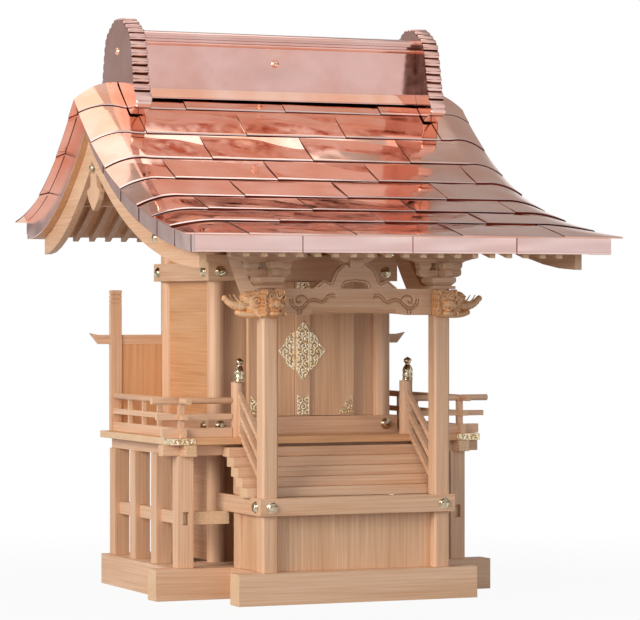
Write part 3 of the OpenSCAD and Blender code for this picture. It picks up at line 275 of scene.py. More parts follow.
# each kept solid gets its finish: grain runs along its length
grain = dict(
    x="base_cross_sills porch_sill veranda_front_beam stair_treads_odd stair_treads_even porch_front_rail "
      "porch_beam bracket_plates body_cross_bands body_head_beam purlins railing_fronts screen_lintels "
      "frog_leg_strut bracket_arms bracket_bearings bracket_blocks",
    y="base_side_sills veranda_side_beams veranda_tie_rails railing_sides porch_side_rails tie_beams "
      "body_side_bands rafters_front rafters_rear bargeboards stair_handrails stair_boards lion_heads "
      "elephant_heads",
    z="veranda_posts newel_posts porch_pillars porch_rear_posts body_pillars screen_posts gable_pendants")
boards = dict(
    x="veranda_deck body_floor", y="roof_boards_front roof_boards_rear body_side_walls",
    z="body_rear_wall screen_panels")
finish = {}
for k, axis in enumerate("xyz"):
    finish.update({name: frameWood[k] for name in grain[axis].split()})
    finish.update({name: boardWood[k] for name in boards[axis].split()})
others = ((doorWood, "door_left door_right body_front_panels body_front_wings porch_panels"),
          (roofCopper, "copper_front copper_rear ridge_box ridge_cap ridge_ends"),
          (edgeCopper, "copper_eave_strips copper_verge_strips"),
          (giltBrass, "deck_corner_bands newel_finials nail_covers"))
for material, names in others:
    finish.update({name: material for name in names.split()})
easing = dict(width=0.45, steps=2, angle=28, merge=0.01)  # edges of the wood, taken off with fine paper
for name, node in nodes.items():
    node.data.materials.clear()
    node.data.materials.append(finish[name])
    if finish[name] in frameWood + boardWood + [doorWood]:
        node.modifiers.new("merge", "WELD").merge_threshold = easing["merge"] / 1000
        edge = node.modifiers.new("eased edges", "BEVEL")
        edge.width, edge.segments, edge.limit_method = easing["width"] / 1000, easing["steps"], "ANGLE"
        edge.angle_limit = math.radians(easing["angle"])
        edge.use_clamp_overlap = True
print("solids finished")

# copper roof: courses of sheets that lap downwards, joined by folds along the slope; main and verge are the
# runs from the ridge at which the laps lie, in the middle and at the verge
roof = dict(ridgeY=88, ridgeZ=537, half=235, flare=8.5, flarePower=5, crease=182, drop=19, dropPower=1.6)
sheets = dict(
    odd=[-112, 1, 113], even=[-169, -57, 56.5, 169], width=113, most=8, gap=0.4, line=0.3, lap=1.7,
    lip=0.5, tuck=1.3, fold=0.8, thick=2.0, tilt=0.35, bow=0.3, swell=0.3, swellSpread=0.22, sink=0.1,
    dent=0.17, dentWave=90, fineWave=40, fineShare=0.15)
slopes = dict(
    front=dict(side=-1, run=351, eaveZ=368.7, foot=350.6, straight=0.5, power=3.3,
               main=[0, 31, 66, 108, 151, 198, 243, 290, 351], verge=[0, 16, 55, 99, 145, 197, 242, 300, 351],
               eaveJoints=[-112.4, 4, 117.4], seed=7, eaveSeed=51, vergeSeed=61),
    rear=dict(side=1, run=175, eaveZ=392.6, foot=378.4, straight=0.6, power=2.0,
              main=[0, 32, 72, 122, 175], verge=[0, 18, 60, 114, 175],
              eaveJoints=[-112, 0, 112], seed=19, eaveSeed=53, vergeSeed=67))
y0 = roof["ridgeY"]


def roofFace(slope, u, across):
    # height of the copper at a run u from the ridge: a straight share and a power of the distance to the eave,
    # less the bend of the verge, the square of the share from the crease to the lip
    s = np.clip(u / slope["run"], 0, 1)
    rise = slope["straight"] * (1 - s) + (1 - slope["straight"]) * (1 - s) ** slope["power"]
    z = slope["eaveZ"] + (roof["ridgeZ"] - slope["eaveZ"]) * rise
    crease, lip = roof["crease"], roof["half"] - roof["flare"] * (1 - s ** roof["flarePower"])
    x = np.where(across <= 1, across * crease, crease + (across - 1) * (lip - crease))
    bend = roof["drop"] * (1 - s ** roof["dropPower"]) * np.clip(across - 1, 0, 1) ** 2
    return x, z - bend


def slopeHeight(part, u):  # height of the copper in the middle of a slope
    return roofFace(slopes[part], np.asarray(u, float), 0.0)[1]


def copperCourses(slope):
    # rows: each course from its upper to its lower edge; columns: 0 to 1 out to the crease, 1 to 2 over the verge
    side, seed, crease = slope["side"], slope["seed"], roof["crease"]
    count = len(slope["main"]) - 1
    steps = np.r_[np.linspace(0, 0.93, 12), 0.965, 1] * 0.9999
    row = np.concatenate([k + steps for k in range(count)])[:, None]
    course = np.floor(row).astype(int)
    down = row - course
    joints = [np.array(sheets[k]) for k in ("odd", "even")]
    edges = np.concatenate(joints)
    inner = np.r_[np.linspace(-crease, crease, 131), edges - sheets["gap"], edges + sheets["gap"]]
    inner = np.unique(np.round(inner, 2)) / crease
    outer = 1 + np.linspace(0, 1, 17)[1:]
    across = np.concatenate([-outer[::-1], inner, outer])[None]
    # the laps run straight from the crease out to the verge
    main, verge = [np.interp(row, np.arange(count + 1), slope[k]) for k in ("main", "verge")]
    share = np.clip(np.abs(across) - 0.97, 0, 1.03) / 1.03
    u = main + (verge - main) * share
    x, z = roofFace(slope, u, np.abs(across))
    x = np.broadcast_to(x * np.sign(across), z.shape)
    # sheets: a step at each fold, a slight tilt, bow and swell of their own, and dents
    odd = course % 2 == 0
    sheet = [np.searchsorted(places, x) for places in joints]
    left = [np.r_[places[0] - sheets["width"], places][k] for places, k in zip(joints, sheet)]
    sheet, left = np.where(odd, *sheet), np.where(odd, *left)
    rng = np.random.default_rng(seed)
    spreads = ((0, sheets["tilt"]), (0, sheets["bow"]), (sheets["swell"], sheets["swellSpread"]))
    tilt, bow, swell = [rng.normal(*spread, (count, sheets["most"]))[course, sheet] for spread in spreads]
    part = np.clip((x - left) / sheets["width"], 0, 1)
    tilt = (tilt * (part - 0.5) + bow * (4 * part * (1 - part) - 1)) * 0.9 * (1 - down ** 6)
    lift = sheets["lap"] * (down - 1) - sheets["fold"] * part + tilt
    soft = ripples(x + 400 * sheet, u + 300 * course, seed, sheets["dentWave"])
    soft = soft + sheets["fineShare"] * ripples(x, u, seed + 1, sheets["fineWave"])
    inside = np.clip(2 - np.abs(across), 0, 1) * np.sin(np.pi * np.clip(down, 0.02, 0.98)) ** 0.5
    swell = swell * np.sin(np.pi * down)
    lift = np.minimum(lift + sheets["dent"] * soft * inside + swell - sheets["sink"], 0)
    lift = lift - sheets["lip"] * (down > 0.99)
    under = np.where((down < 0.001) & (course > 0), sheets["tuck"], 0)  # starts below the edge of the one above
    top = np.stack([x, y0 + side * (u - under), z + lift], -1)
    bottom = np.stack([x, y0 + side * u, z - sheets["thick"]], -1)
    # marks: 1 paints shade in the step under each lap and along each fold, 2 paints a highlight on each lap edge
    middle = ((x[:-1, :-1] + x[:-1, 1:]) / 2)[..., None]
    near = np.where(odd[:-1], *[np.abs(middle - places).min(-1) for places in joints])
    marks = np.where((course[1:] != course[:-1]) | (near < sheets["line"]), 1, np.where(down[:-1] > 0.96, 2, 0))
    if side < 0:  # keep the faces outwards on both slopes
        top, bottom, marks = top[:, ::-1], bottom[:, ::-1], marks[:, ::-1]
    verts, faces = closedSheet(top, bottom)
    return verts, faces[:, ::-1], marks.ravel()


for part, slope in slopes.items():
    verts, faces, marks = copperCourses(slope)
    makePiece("copper_courses_" + part, verts, faces, roofCopper, "copper_sheet", ["copper_" + part], crease=28,
              marks=marks, others=[gapShadeCopper, edgeCopper])
print("copper courses laid")

# ridge: a box of copper sheet with a flared foot, and a rounded cap; points of flange and bead are (out, up)
ridge = dict(
    half=160, depth=18, foot=22.2, footZ=528.5, faceTop=574.4, top=581.5, seat=0.6,
    flange=[(-0.6, 2.6), (0, 2.8), (0, 3.8), (-0.6, 4.2)],
    bead=[(0.4, 575.2), (1.2, 576.6), (0.6, 578), (-0.6, 578.8)],
    dent=0.25, dentWave=120, dimple=1.1, dimpleAt=(-5, 558), dimpleSize=(34, 15))
cap = dict(rise=9.3, edge=3, over=2.6, dent=0.35, dentWave=80)


def sweptAlongX(profile, x, dent, seed, wave, dimple=0):
    # (y, z) profile carried along x, with soft dents square to the ridge and a bell-shaped dimple at the stud
    gx, along = np.meshgrid(x, lengths(profile), indexing="ij")
    y, z = np.broadcast_to(profile.T[:, None], (2,) + gx.shape)
    (atX, atZ), (wide, high) = ridge["dimpleAt"], ridge["dimpleSize"]
    pull = dimple * np.exp(-((gx - atX) / wide) ** 2 - ((z - atZ) / high) ** 2)
    y = y + (ripples(gx, along, seed, wave) * dent - pull) * np.sign(y - y0)
    return closedRings(np.stack([gx, y, z], -1))


def ridgeSide(part):
    # half a section, as (distance from the ridge line, height): foot, flange, upright face, bead and top
    depth, roofZ = ridge["depth"], slopeHeight(part, ridge["foot"])
    foot = [(depth - 1.2, slopeHeight(part, depth) + ridge["seat"]), (depth - 1.2, ridge["footZ"] - 2.2)]
    flange = [(ridge["foot"] + out, roofZ + up) for out, up in ridge["flange"]]
    face = np.c_[np.full(12, depth - 0.5), np.linspace(ridge["footZ"] + 1.2, ridge["faceTop"], 12)]
    bead = [(depth + out, z) for out, z in ridge["bead"]]
    return np.concatenate([foot, flange, [(depth + 0.5, ridge["footZ"])], face, bead,
                           [(depth - 0.6, ridge["top"])]])


ridgeX = np.linspace(-ridge["half"], ridge["half"], 81)
front, rear = ridgeSide("front"), ridgeSide("rear")
under = [(y0 + slopes[part]["side"] * u, slopeHeight(part, u) + ridge["seat"])
         for part, u in (("rear", 12), ("rear", 1), ("front", 12))]
profile = np.concatenate([np.c_[y0 - front[:, 0], front[:, 1]], np.c_[y0 + rear[::-1, 0], rear[::-1, 1]], under])
verts, faces = sweptAlongX(profile, ridgeX, ridge["dent"], 31, ridge["dentWave"], ridge["dimple"])
lit = np.array([4, 5])  # the upper faces of the flange are as bright as the roof
flange = np.isin(np.arange(len(profile)), np.r_[lit, 2 * len(front) - 2 - lit])
makePiece("ridge_box_sheet", verts, faces, ridgeCopper, "copper_sheet", ["ridge_box"], crease=24,
          marks=np.tile(flange, len(ridgeX) - 1), others=[roofCopper])
# cap: half an ellipse over a thin upright edge
a = np.linspace(0, np.pi, 25)
half = ridge["depth"] + cap["over"]
arc = np.c_[y0 - half * np.cos(a), ridge["top"] + cap["edge"] + (cap["rise"] - cap["edge"]) * np.sin(a) ** 0.8]
profile = np.concatenate([[(y0 - half, ridge["top"] + 0.2)], arc, [(y0 + half, ridge["top"] + 0.2)]])
verts, faces = sweptAlongX(profile, ridgeX, cap["dent"], 37, cap["dentWave"])
makePiece("ridge_cap_sheet", verts, faces, ridgeCopper, "copper_sheet", ["ridge_cap"], crease=40)

# end plates: half the outline as (distance from the ridge line, height), from the top to the foot
plate = dict(
    outline=[(0, 602.4), (11, 602), (20, 597.4), (29, 592), (37, 585.6), (41.5, 576), (44.2, 566),
             (46.5, 555), (48.8, 544), (51, 533), (55, 523.5), (58, 515), (58.5, 508), (55.5, 503)],
    lobe=10, lobeDepth=2.8, curl=22, curlSwell=1.4, darkBelow=0.45, legs=(41, 2), middleZ=552,
    inner=160.2, outer=177.9, round=(1.2, 1.3), roundShare=0.985, rings=(0.92, 0.86, 0.5, 0.02))


def endPlate(side):
    # rim: the outline sinks in narrow valleys between round lobes, and ends in one larger lobe at the foot;
    # faces: flat rings that shrink towards the middle
    half = smoothLine(plate["outline"], 241)
    run = lengths(half)
    rim = run[-1] - plate["curl"]
    turns = np.where(run < rim, (round(rim / plate["lobe"]) + 0.5) * run / rim, 0)
    last = plate["curlSwell"] * np.sin(np.pi * np.clip((run - rim) / plate["curl"], 0, 1)) ** 1.2
    swell = np.where(run < rim, np.abs(np.cos(np.pi * turns)), last) ** 0.6
    lobed = half + sideways(half) * (plate["lobeDepth"] * (1 - swell))[:, None]
    lobed[:, 0] = np.maximum(lobed[:, 0], 0)
    legs = np.linspace(*plate["legs"], 20)
    right, left = [np.c_[legs, slopeHeight(part, legs) + ridge["seat"]] for part in ("rear", "front")]
    ring, level = [np.concatenate([np.concatenate([line, right]) + (y0, 0),
                                   (np.concatenate([line, left]) * (-1, 1) + (y0, 0))[:0:-1]])
                   for line in (lobed, half)]
    inner, outer = plate["inner"], plate["outer"]
    back = [(level, inner, k) for k in plate["rings"][::-1]]
    edge = [(ring, inner, plate["roundShare"]), (ring, inner + plate["round"][0], 1),
            (ring, outer - plate["round"][1], 1), (ring, outer, plate["roundShare"])]
    face = [(level, outer, k) for k in plate["rings"]]
    middle = np.array([y0, plate["middleZ"]])
    grid = np.stack([np.c_[np.full(len(line), x * side), middle + (line - middle) * k]
                     for line, x, k in back + edge + face])
    # the valleys of the rim take the dark copper: painted shade between the lobes
    valley = swell < plate["darkBelow"]
    dark = np.concatenate([valley, np.zeros(2 * len(legs), dtype=bool), valley[::-1]])[:len(ring)]
    marks = np.zeros((len(grid) - 1, len(ring)), dtype=int)
    marks[len(back):len(back) + 3] = dark
    return closedRings(grid, flip=side < 0) + (np.r_[marks.ravel(), 0, 0],)


plates = [endPlate(1), endPlate(-1)]
makePiece("ridge_end_plates", *joined(*[p[:2] for p in plates]), ridgeCopper, "copper_sheet", ["ridge_ends"],
          crease=32, marks=np.concatenate([p[2] for p in plates]), others=[gapShadeCopper])
print("ridge made")


# shapes for small fittings and carvings
def lathe(profile, steps, at, axis=(0, 0, 1)):
    # (radius, height) points turned about an axis through a point
    profile = np.asarray(profile, float)
    turn = np.linspace(0, 2 * np.pi, steps, endpoint=False)
    w = np.asarray(axis, float)
    u = np.cross(w, (0, 1, 0) if abs(w[1]) < 0.9 else (1, 0, 0))
    u /= np.linalg.norm(u)
    v = np.cross(w, u)
    ring = np.cos(turn)[:, None] * u + np.sin(turn)[:, None] * v
    return closedRings(np.asarray(at, float) + profile[:, 0, None, None] * ring + profile[:, 1, None, None] * w)


def tube(path, radius, steps=8, flat=1.0, side=(0, 1, 0)):
    # a round or flattened section carried along a path; its ends are closed
    path = np.asarray(path, float)
    along = np.gradient(path, axis=0)
    along /= np.linalg.norm(along, axis=1)[:, None]
    u = np.cross(along, np.asarray(side, float))
    u /= np.maximum(np.linalg.norm(u, axis=1), 1e-9)[:, None]
    v = np.cross(along, u)
    turn = np.linspace(0, 2 * np.pi, steps, endpoint=False)[:, None]
    r = np.broadcast_to(np.asarray(radius, float), len(path))[:, None, None]
    section = np.cos(turn) * u[:, None] + flat * np.sin(turn) * v[:, None]
    return closedRings(path[:, None] + r * section, flip=True)


def ball(at, radii, rows=12, cols=18):
    # latitude and longitude of an egg with three radii
    a, b = np.meshgrid(np.linspace(0.06, np.pi - 0.06, rows), np.linspace(0, 2 * np.pi, cols, endpoint=False),
                       indexing="ij")
    grid = np.stack([np.sin(a) * np.cos(b), np.sin(a) * np.sin(b), np.cos(a)], -1) * radii + at
    return closedRings(grid, flip=True)


def spiral(at, u, v, outer, turns, thick, out=(0, 0, 0), start=0.0, count=40):
    # a curl: the radius falls evenly with the angle, the middle stands out a little
    t = np.linspace(0, 1, count)[:, None]
    angle = start + turns * 2 * np.pi * t
    path = outer * (1 - 0.9 * t) * (np.cos(angle) * np.asarray(u, float) + np.sin(angle) * np.asarray(v, float))
    path = np.asarray(at, float) + path + t * np.asarray(out, float)
    return tube(path, thick * (1 - 0.35 * t[:, 0]), side=np.cross(u, v))


# brass fittings: profiles as (radius, height), places as a point and the direction outwards
toFront, toRear, toRight, toLeft = (0, -1, 0), (0, 1, 0), (1, 0, 0), (-1, 0, 0)
nailCover = np.array([
    (5.9, 0), (5.9, 0.5), (5.5, 0.8), (4.9, 0.9), (4.8, 1.5), (4.5, 2.3), (3.7, 3.0),
    (2.4, 3.35), (1.2, 3.45), (0.05, 3.5)])
finial = np.array([
    (5.4, 0), (5.5, 0.6), (5.5, 2.2), (5.1, 2.7), (5.1, 4.2), (5.5, 4.7), (5.5, 5.6), (5.2, 6.2),
    (5.2, 9.2), (5.5, 9.8), (5.5, 10.8), (5.2, 11.4), (4.9, 12.6), (4.0, 14.3), (2.9, 15.5),
    (2.5, 16.4), (2.6, 17.1), (3.4, 18.0), (4.2, 19.2), (4.35, 20.3), (4.0, 21.4), (3.0, 22.4),
    (1.6, 23.1), (0.7, 23.6), (0.3, 23.95), (0.03, 24)])
fittings = dict(
    covers=[((94.5, 3.05, 174), toFront), ((94.5, 3.05, 335), toFront), ((107.75, 16.3, 174), toRight),
            ((107.75, 16.3, 335), toRight), ((107.75, 154.9, 335), toRight), ((95, -139.9, 97.7), toFront),
            ((107.75, -127, 97.7), toRight)],
    bosses=[((-207, 168.5, 422.7), 5.2), ((-207, -105.9, 366.7), 5.2), ((-207, 86, 444), 4.6)],  # with radius
    studs=[((-5, 71.6, 558.5), toFront), ((-5, 104.4, 558.5), toRear), ((-177.3, 89, 568), toLeft),
           ((177.3, 89, 568), toRight)], studScale=0.75, newel=(95, -51))
covers = [lathe(nailCover, 28, at, axis) for at, axis in fittings["covers"]]
makePiece("brass_nail_covers", *paired(*covers), darkenedPolishedBrass, "gilt_brass", ["nail_covers"])
low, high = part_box("newel_finials")
finial = finial * (1, (high.z - low.z) * 1000 / finial[-1, 1])
newelX, newelY = fittings["newel"]
tips = [lathe(finial, 40, (side * newelX, newelY, low.z * 1000)) for side in (-1, 1)]
makePiece("newel_finial_brass", *joined(*tips), darkenedPolishedBrass, "gilt_brass", ["newel_finials"])
bosses = [lathe(nailCover * (r / nailCover[0, 0]), 24, at, toLeft) for at, r in fittings["bosses"]]
makePiece("gable_bosses", *paired(*bosses), darkenedPolishedBrass, "gilt_brass")
studs = [lathe(nailCover * fittings["studScale"], 24, at, axis) for at, axis in fittings["studs"]]
makePiece("ridge_studs", *joined(*studs), roofCopper, "copper_sheet")

# gilt openwork on doors and deck
lace = dict(
    cell=7.4, bandCell=5, rowShare=0.87, curl=3.1, step=0.36, thick=0.75, border=1.3, frame=1.2, knot=0.8,
    cut=0.08, wall=0.5)


def openwork(inside, span, place, cell=lace["cell"]):
    # arabesque: vines that curl about the points of a staggered lattice, raised over a plate that is cut away
    # between them; inside(a, b) is the distance in from the edge, and place(a, b, h) sets the plate in the frame
    step = lace["step"]
    a, b = np.meshgrid(np.arange(span[0], span[1] + step / 2, step), np.arange(span[2], span[3] + step / 2, step),
                       indexing="ij")
    depth = inside(a, b)
    row = np.round(b / (cell * lace["rowShare"]))
    shift = (row % 2) * cell / 2
    column = np.round((a - shift) / cell)
    da, db = a - column * cell - shift, b - row * cell * lace["rowShare"]
    r = np.hypot(da, db)
    angle = np.arctan2(db, da) * np.where((column + row) % 2 == 0, 1, -1)
    vine = 0.5 + 0.5 * np.cos(angle - 2 * np.pi * r / lace["curl"])
    height = np.where(depth < lace["border"], 0.9, 0.4 + 0.6 * np.clip(vine * 3 - 0.5, 0, 1)) * lace["thick"]
    keep = (depth > 0) & ((vine > lace["cut"]) | (depth < lace["frame"]) | (r < lace["knot"]))
    quad = keep[:-1, :-1] & keep[1:, :-1] & keep[:-1, 1:] & keep[1:, 1:]
    ids = np.arange(a.size).reshape(a.shape)
    faces = np.stack([ids[:-1, :-1], ids[1:, :-1], ids[1:, 1:], ids[:-1, 1:]], -1)[quad]
    used, faces = np.unique(faces, return_inverse=True)
    return np.stack(place(a, b, height), -1).reshape(-1, 3)[used], faces.reshape(-1, 4)


def giltPlate(name, parts, body="shrine", replaces=()):
    piece = makePiece(name, *joined(*parts), giltBrass, "gilt_brass", replaces, body)
    wall = piece.modifiers.new("plate thickness", "SOLIDIFY")
    wall.thickness, wall.offset = lace["wall"] / 1000, -1


# star and strip: half widths at heights above and below the middle
leaf = dict(
    face=9.55, stripFace=6.55, gap=0.15, middleZ=252, stripSide=8.3,
    starUp=[0, 2, 5, 8, 9.4, 11, 14, 16.5, 17.6, 19, 20.5, 21],
    starHalf=[26.7, 25.8, 23, 20.8, 18.2, 19, 17.4, 15.8, 13.2, 12.6, 9.8, -9],
    stripUp=[0, 21.5, 23, 25, 27, 28.5, 31, 32], stripHalf=[7.3, 7.3, 6, 5.5, 3.9, 3.3, 0.4, -9],
    cornerSide=58.6, cornerStart=41.5, cornerFoot=185.2, cornerSlope=1.25,
    endHalf=7.2, endFoot=184.4, endTop=324.4, footTip=201.5, headTip=316.5, tipSlope=0.65)


def halfWidth(part, z):
    return np.interp(np.abs(z - leaf["middleZ"]), leaf[part + "Up"], leaf[part + "Half"])


def starInside(x, z):
    return np.minimum(halfWidth("star", z) - x, x - leaf["stripSide"]) * 0.8


def cornerInside(x, z):
    up = z - leaf["cornerFoot"]
    slant = ((x - leaf["cornerStart"]) * leaf["cornerSlope"] - up) * 0.6
    return np.minimum(np.minimum(leaf["cornerSide"] - x, up), slant)


def stripInside(x, z):
    return (halfWidth("strip", z) - np.abs(x)) * 0.9


def stripEnd(edge, tip, way):  # straight at the edge, notched at the tip
    return lambda x, z: np.minimum(np.minimum(leaf["endHalf"] - np.abs(x), way * (z - edge)),
                                   way * (tip - z) + leaf["tipSlope"] * np.abs(x))


def onFront(y):  # sets a plate on an upright face
    return lambda x, z, h: (x, y - h, z)


onLeaf, onStrip = onFront(leaf["face"] - leaf["gap"]), onFront(leaf["stripFace"] - leaf["gap"])
star = openwork(starInside, (8, 27.5, 230, 274), onLeaf)
corner = openwork(cornerInside, (41, 59, 185, 208), onLeaf)
stripStar = openwork(stripInside, (-8, 8, 220, 284), onStrip)
stripFoot = openwork(stripEnd(leaf["endFoot"], leaf["footTip"], 1), (-8, 8, 184, 207), onStrip)
stripHead = openwork(stripEnd(leaf["endTop"], leaf["headTip"], -1), (-8, 8, 311, 325), onStrip)
giltPlate("door_gilding_right", [star, corner, stripStar, stripFoot, stripHead], "right_door")
giltPlate("door_gilding_left", [mirrored(star), mirrored(corner)], "left_door")

# bands round the front corners of the deck, with a pointed end on the front
band = dict(
    foot=157.9, top=164.9, middle=161.4, corner=172.8, straight=20, reach=24, tip=22.4, tipHalf=3.6,
    tipSlope=0.55, edge=0.2, frontY=-62.1, sideX=172.9, sideEnd=-42.2)


def bandInside(z):
    return np.minimum(z - band["foot"], band["top"] - z)


def bandFrontInside(x, z):
    d = band["corner"] - x
    tip = band["tipHalf"] - np.abs(z - band["middle"]) - np.abs(d - band["tip"]) * band["tipSlope"]
    return np.minimum(bandInside(z), np.where(d > band["straight"], tip, band["reach"] - d) + band["edge"])


def bandSideInside(y, z):
    return np.minimum(bandInside(z), band["sideEnd"] - y)


bandFront = openwork(bandFrontInside, (147, 172.8, 157.8, 165), onFront(band["frontY"]), lace["bandCell"])
bandSide = openwork(bandSideInside, (-62.8, -42, 157.8, 165), lambda y, z, h: (band["sideX"] + h, y, z),
                    lace["bandCell"])
giltPlate("deck_corner_gilding", [bandFront, mirrored(bandFront), bandSide, mirrored(bandSide)],
          replaces=["deck_corner_bands"])
print("brass and gilding made")

# carvings of the porch: elephant heads at the sides, lion heads in front, scrolls cut in the beam
porch = dict(x=95, y=-127, pillar=8.75)
toUp = (0, 0, 1)


def elephant():
    # eggs for skull, brow, trunk tip, lip and chin; trunk, tusks and jaw as tapering tubes; ear and hair as curls
    base = np.array([porch["x"] + porch["pillar"], porch["y"], 0])
    t = np.linspace(0, 1, 28)
    trunk = smoothLine(base + [(11, 0, 304), (18, 0, 299.5), (26, 0, 299.8), (33, 0, 303), (37.4, 0, 307.6)], 28)
    jaw = smoothLine(base + [(1, 0, 291.3), (10, 0, 290.6), (18, 0, 291), (23.5, 0, 292.6)], 16)
    parts = [ball(base + (7.5, 0, 302.5), (10.5, 8.2, 12)), ball(base + (13, 0, 306.5), (8, 6.8, 7.6)),
             tube(trunk, 6.4 - 3.6 * t + 0.35 * np.cos(t * 60) * (t > 0.15), 12),
             ball(base + (37.2, 0, 306.8), (3.1, 3.4, 3.3)),
             tube(jaw, np.linspace(4.4, 3.0, 16), 12, 1.5),
             ball(base + (23.4, 0, 292.5), (3.0, 4.3, 3.0)), ball(base + (4, 0, 294), (6, 7.8, 6))]
    for s in (-1, 1):
        out = np.array([1, s, 1])
        tusk = [(14, 5.5, 300.5), (20, 6.6, 301.2), (26, 6.2, 305), (30, 5.6, 310.6)]
        brow = [(12, 6.2, 309.5), (15.5, 6.8, 310.4), (19, 5.6, 308.4)]
        parts += [tube(smoothLine(base + out * tusk, 16), np.linspace(1.5, 0.45, 16)),
                  spiral(base + out * (5.5, 7.4, 303.6), toRight, toUp, 6.2, 1.7, 1.5, (0, 2.2 * s, 0), 0.4),
                  ball(base + out * (15.6, 5.9, 307.6), (1.9, 1.3, 1.3)),
                  tube(smoothLine(base + out * brow, 10), 0.9)]
        for k in range(5):
            beard = [(12 - 1.6 * k, 7.0, 297.5 - 2.0 * k), (6 - k, 8.4, 295.4 - 1.8 * k), (1, 8.2, 297.6 - 2.4 * k)]
            crest = [(9 - 1.4 * k, 6.4, 313.2 - 0.8 * k), (4.5 - 0.8 * k, 7.6, 312.4 - 1.6 * k),
                     (0.6, 8, 314 - 3.0 * k)]
            parts += [tube(smoothLine(base + out * beard, 12), 1.15), tube(smoothLine(base + out * crest, 12), 1.1)]
    return joined(*parts)


def lion():
    # eggs for skull, muzzle, nose, jaw, tongue and throat; mane, brows and beard as rows of curls
    base = np.array([porch["x"], porch["y"] - porch["pillar"], 0])
    eggs = [((0, -6, 302.5), (10.2, 8.6, 12.4)), ((0, -14.6, 301.2), (7.4, 5.2, 4.6)),
            ((0, -18.6, 303.2), (3.3, 2.0, 2.0)), ((0, -12.2, 291.6), (7.0, 6.6, 3.0)),
            ((0, -13.2, 295), (4.2, 4.6, 1.5)), ((0, -4, 290.5), (9.6, 6, 3.4))]
    parts = [ball(base + at, radii) for at, radii in eggs]
    for s in (-1, 1):
        out = np.array([s, 1, 1])
        outwards = (s, 0, 0)
        parts += [ball(base + out * (4.3, -13.4, 306.3), (1.9, 1.6, 1.7)),
                  ball(base + out * (5.2, -16.2, 299.8), (3.2, 2.6, 2.6)),
                  spiral(base + out * (4.6, -13.4, 309.6), outwards, toUp, 3.3, 1.3, 1.2, (0, -1.2, 0), 2.6),
                  ball(base + out * (1.5, -20.1, 302.4), (1.0, 0.7, 0.8))]
        parts += [lathe([(0.9, 0), (0.7, 1.4), (0.1, 2.4)], 8,
                        base + out * (1.6 + 1.5 * k, -16.6 + 0.75 * k, 297.6), (0, 0, -1)) for k in range(4)]
        for row, z in enumerate((291, 296.8, 302.6, 308.4, 313)):
            x = 8.8 if row == 4 else 10.3
            parts += [spiral(base + out * (x, -1.6 - 5.2 * col + 1.2 * (row % 2), z), toFront, toUp, 3.1, 1.5,
                             1.15, (1.2 * s, 0, 0), 1.2 * row, 26) for col in range(3)]
        parts += [spiral(base + out * (9.0 - 0.4 * k, -11.6 + 0.4 * k, z), outwards, toUp, 3.0, 1.5, 1.1,
                         (0, -1.3, 0), 0.8 * k, 26) for k, z in enumerate((293, 299, 305, 311))]
    parts += [spiral(base + (-6.4 + 3.2 * k, -10.2, 313.6), toRight, toUp, 2.3, 1.4, 1.0, (0, -1.2, 0), k, 24)
              for k in range(5)]
    return joined(*parts)


for name, shape in (("elephant_heads", elephant()), ("lion_heads", lion())):
    makePiece(name + "_carved", *paired(shape), brightenedCarvedWood, "hinoki_frame", [name])

# rainbow beam: lines of the scroll as (inwards, up) from the place at
scroll = dict(
    faceY=-130, depth=1.6, width=1.0, at=(61.5, 304.8), stretch=1.16, arch=2.0, archShare=0.7,
    edgeUp=2.6, edgeHalf=1.0, edgeEnd=46,
    lines=[
        [(-10, 1), (-8.8, -4), (-4.5, -8), (0, -9.3), (4, -7.8), (7.5, -4), (10, -1.4), (14, -0.4),
         (18, -1.6), (21.5, -2.8), (25, -1), (28, 2.6), (31.5, 4), (35, 3.2)],
        [(-7.4, 1), (-6.4, -3), (-3, -6.4), (0.4, -7.2), (3.4, -5.6), (6.6, -2.2), (9.6, 0.6),
         (14, 1.8), (18, 0.6), (21.5, -0.6), (24, 1), (26.6, 4.6), (30.5, 6.4), (34, 6)],
        [(8.8, -0.6), (6.6, 3.4), (3, 5), (-0.6, 4.2), (-2.8, 1.4), (-2.2, -1.6), (0.2, -2.2),
         (1.4, -0.6)]],
    stems=[[(-1.8, -9.6), (-0.6, -14)], [(2.6, -9.2), (1.6, -13.6)]])


def carvedBeam():
    # front face on a grid; each line of the scroll is a groove, a bell curve of the distance to it
    low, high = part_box("porch_beam")
    half, top, back, foot = high.x * 1000, high.z * 1000, high.y * 1000, low.z * 1000
    x, t = np.meshgrid(np.linspace(-half, half, 381), np.linspace(0, 1, 61), indexing="ij")
    a = np.clip(np.abs(x) / (half * scroll["archShare"]), 0, 1)
    lowEdge = foot + scroll["arch"] * (1 - a ** 4)
    z = lowEdge + (top - lowEdge) * t
    lines = [smoothLine(points, 90) for points in scroll["lines"]]
    lines += [np.linspace(*ends, 14) for ends in scroll["stems"]]
    atX, atZ = scroll["at"]
    near = np.full(x.shape, 9.0)
    for line in lines:
        lineX = atX - line[:, 0] * np.where(line[:, 0] > 0, scroll["stretch"], 1)
        gap = np.hypot(np.abs(x)[..., None] - lineX, z[..., None] - (atZ + line[:, 1]))
        near = np.minimum(near, gap.min(-1))
    # faces on the lines of the scroll take the groove tones: painted shade in the grooves
    dark = (near[:-1, :-1] + near[1:, 1:]) / 2 < scroll["width"] * 0.5
    # two fine grooves follow the lower edge
    edge = np.abs(np.abs(z - lowEdge - scroll["edgeUp"]) - scroll["edgeHalf"])
    near = np.minimum(near, edge + np.clip(np.abs(x) - scroll["edgeEnd"], 0, None))
    y = scroll["faceY"] + scroll["depth"] * np.exp(-(near / scroll["width"]) ** 2)
    return closedSheet(np.stack([x, y, z], -1), np.stack([x, np.full_like(x, back), z], -1)) + (dark.ravel(),)


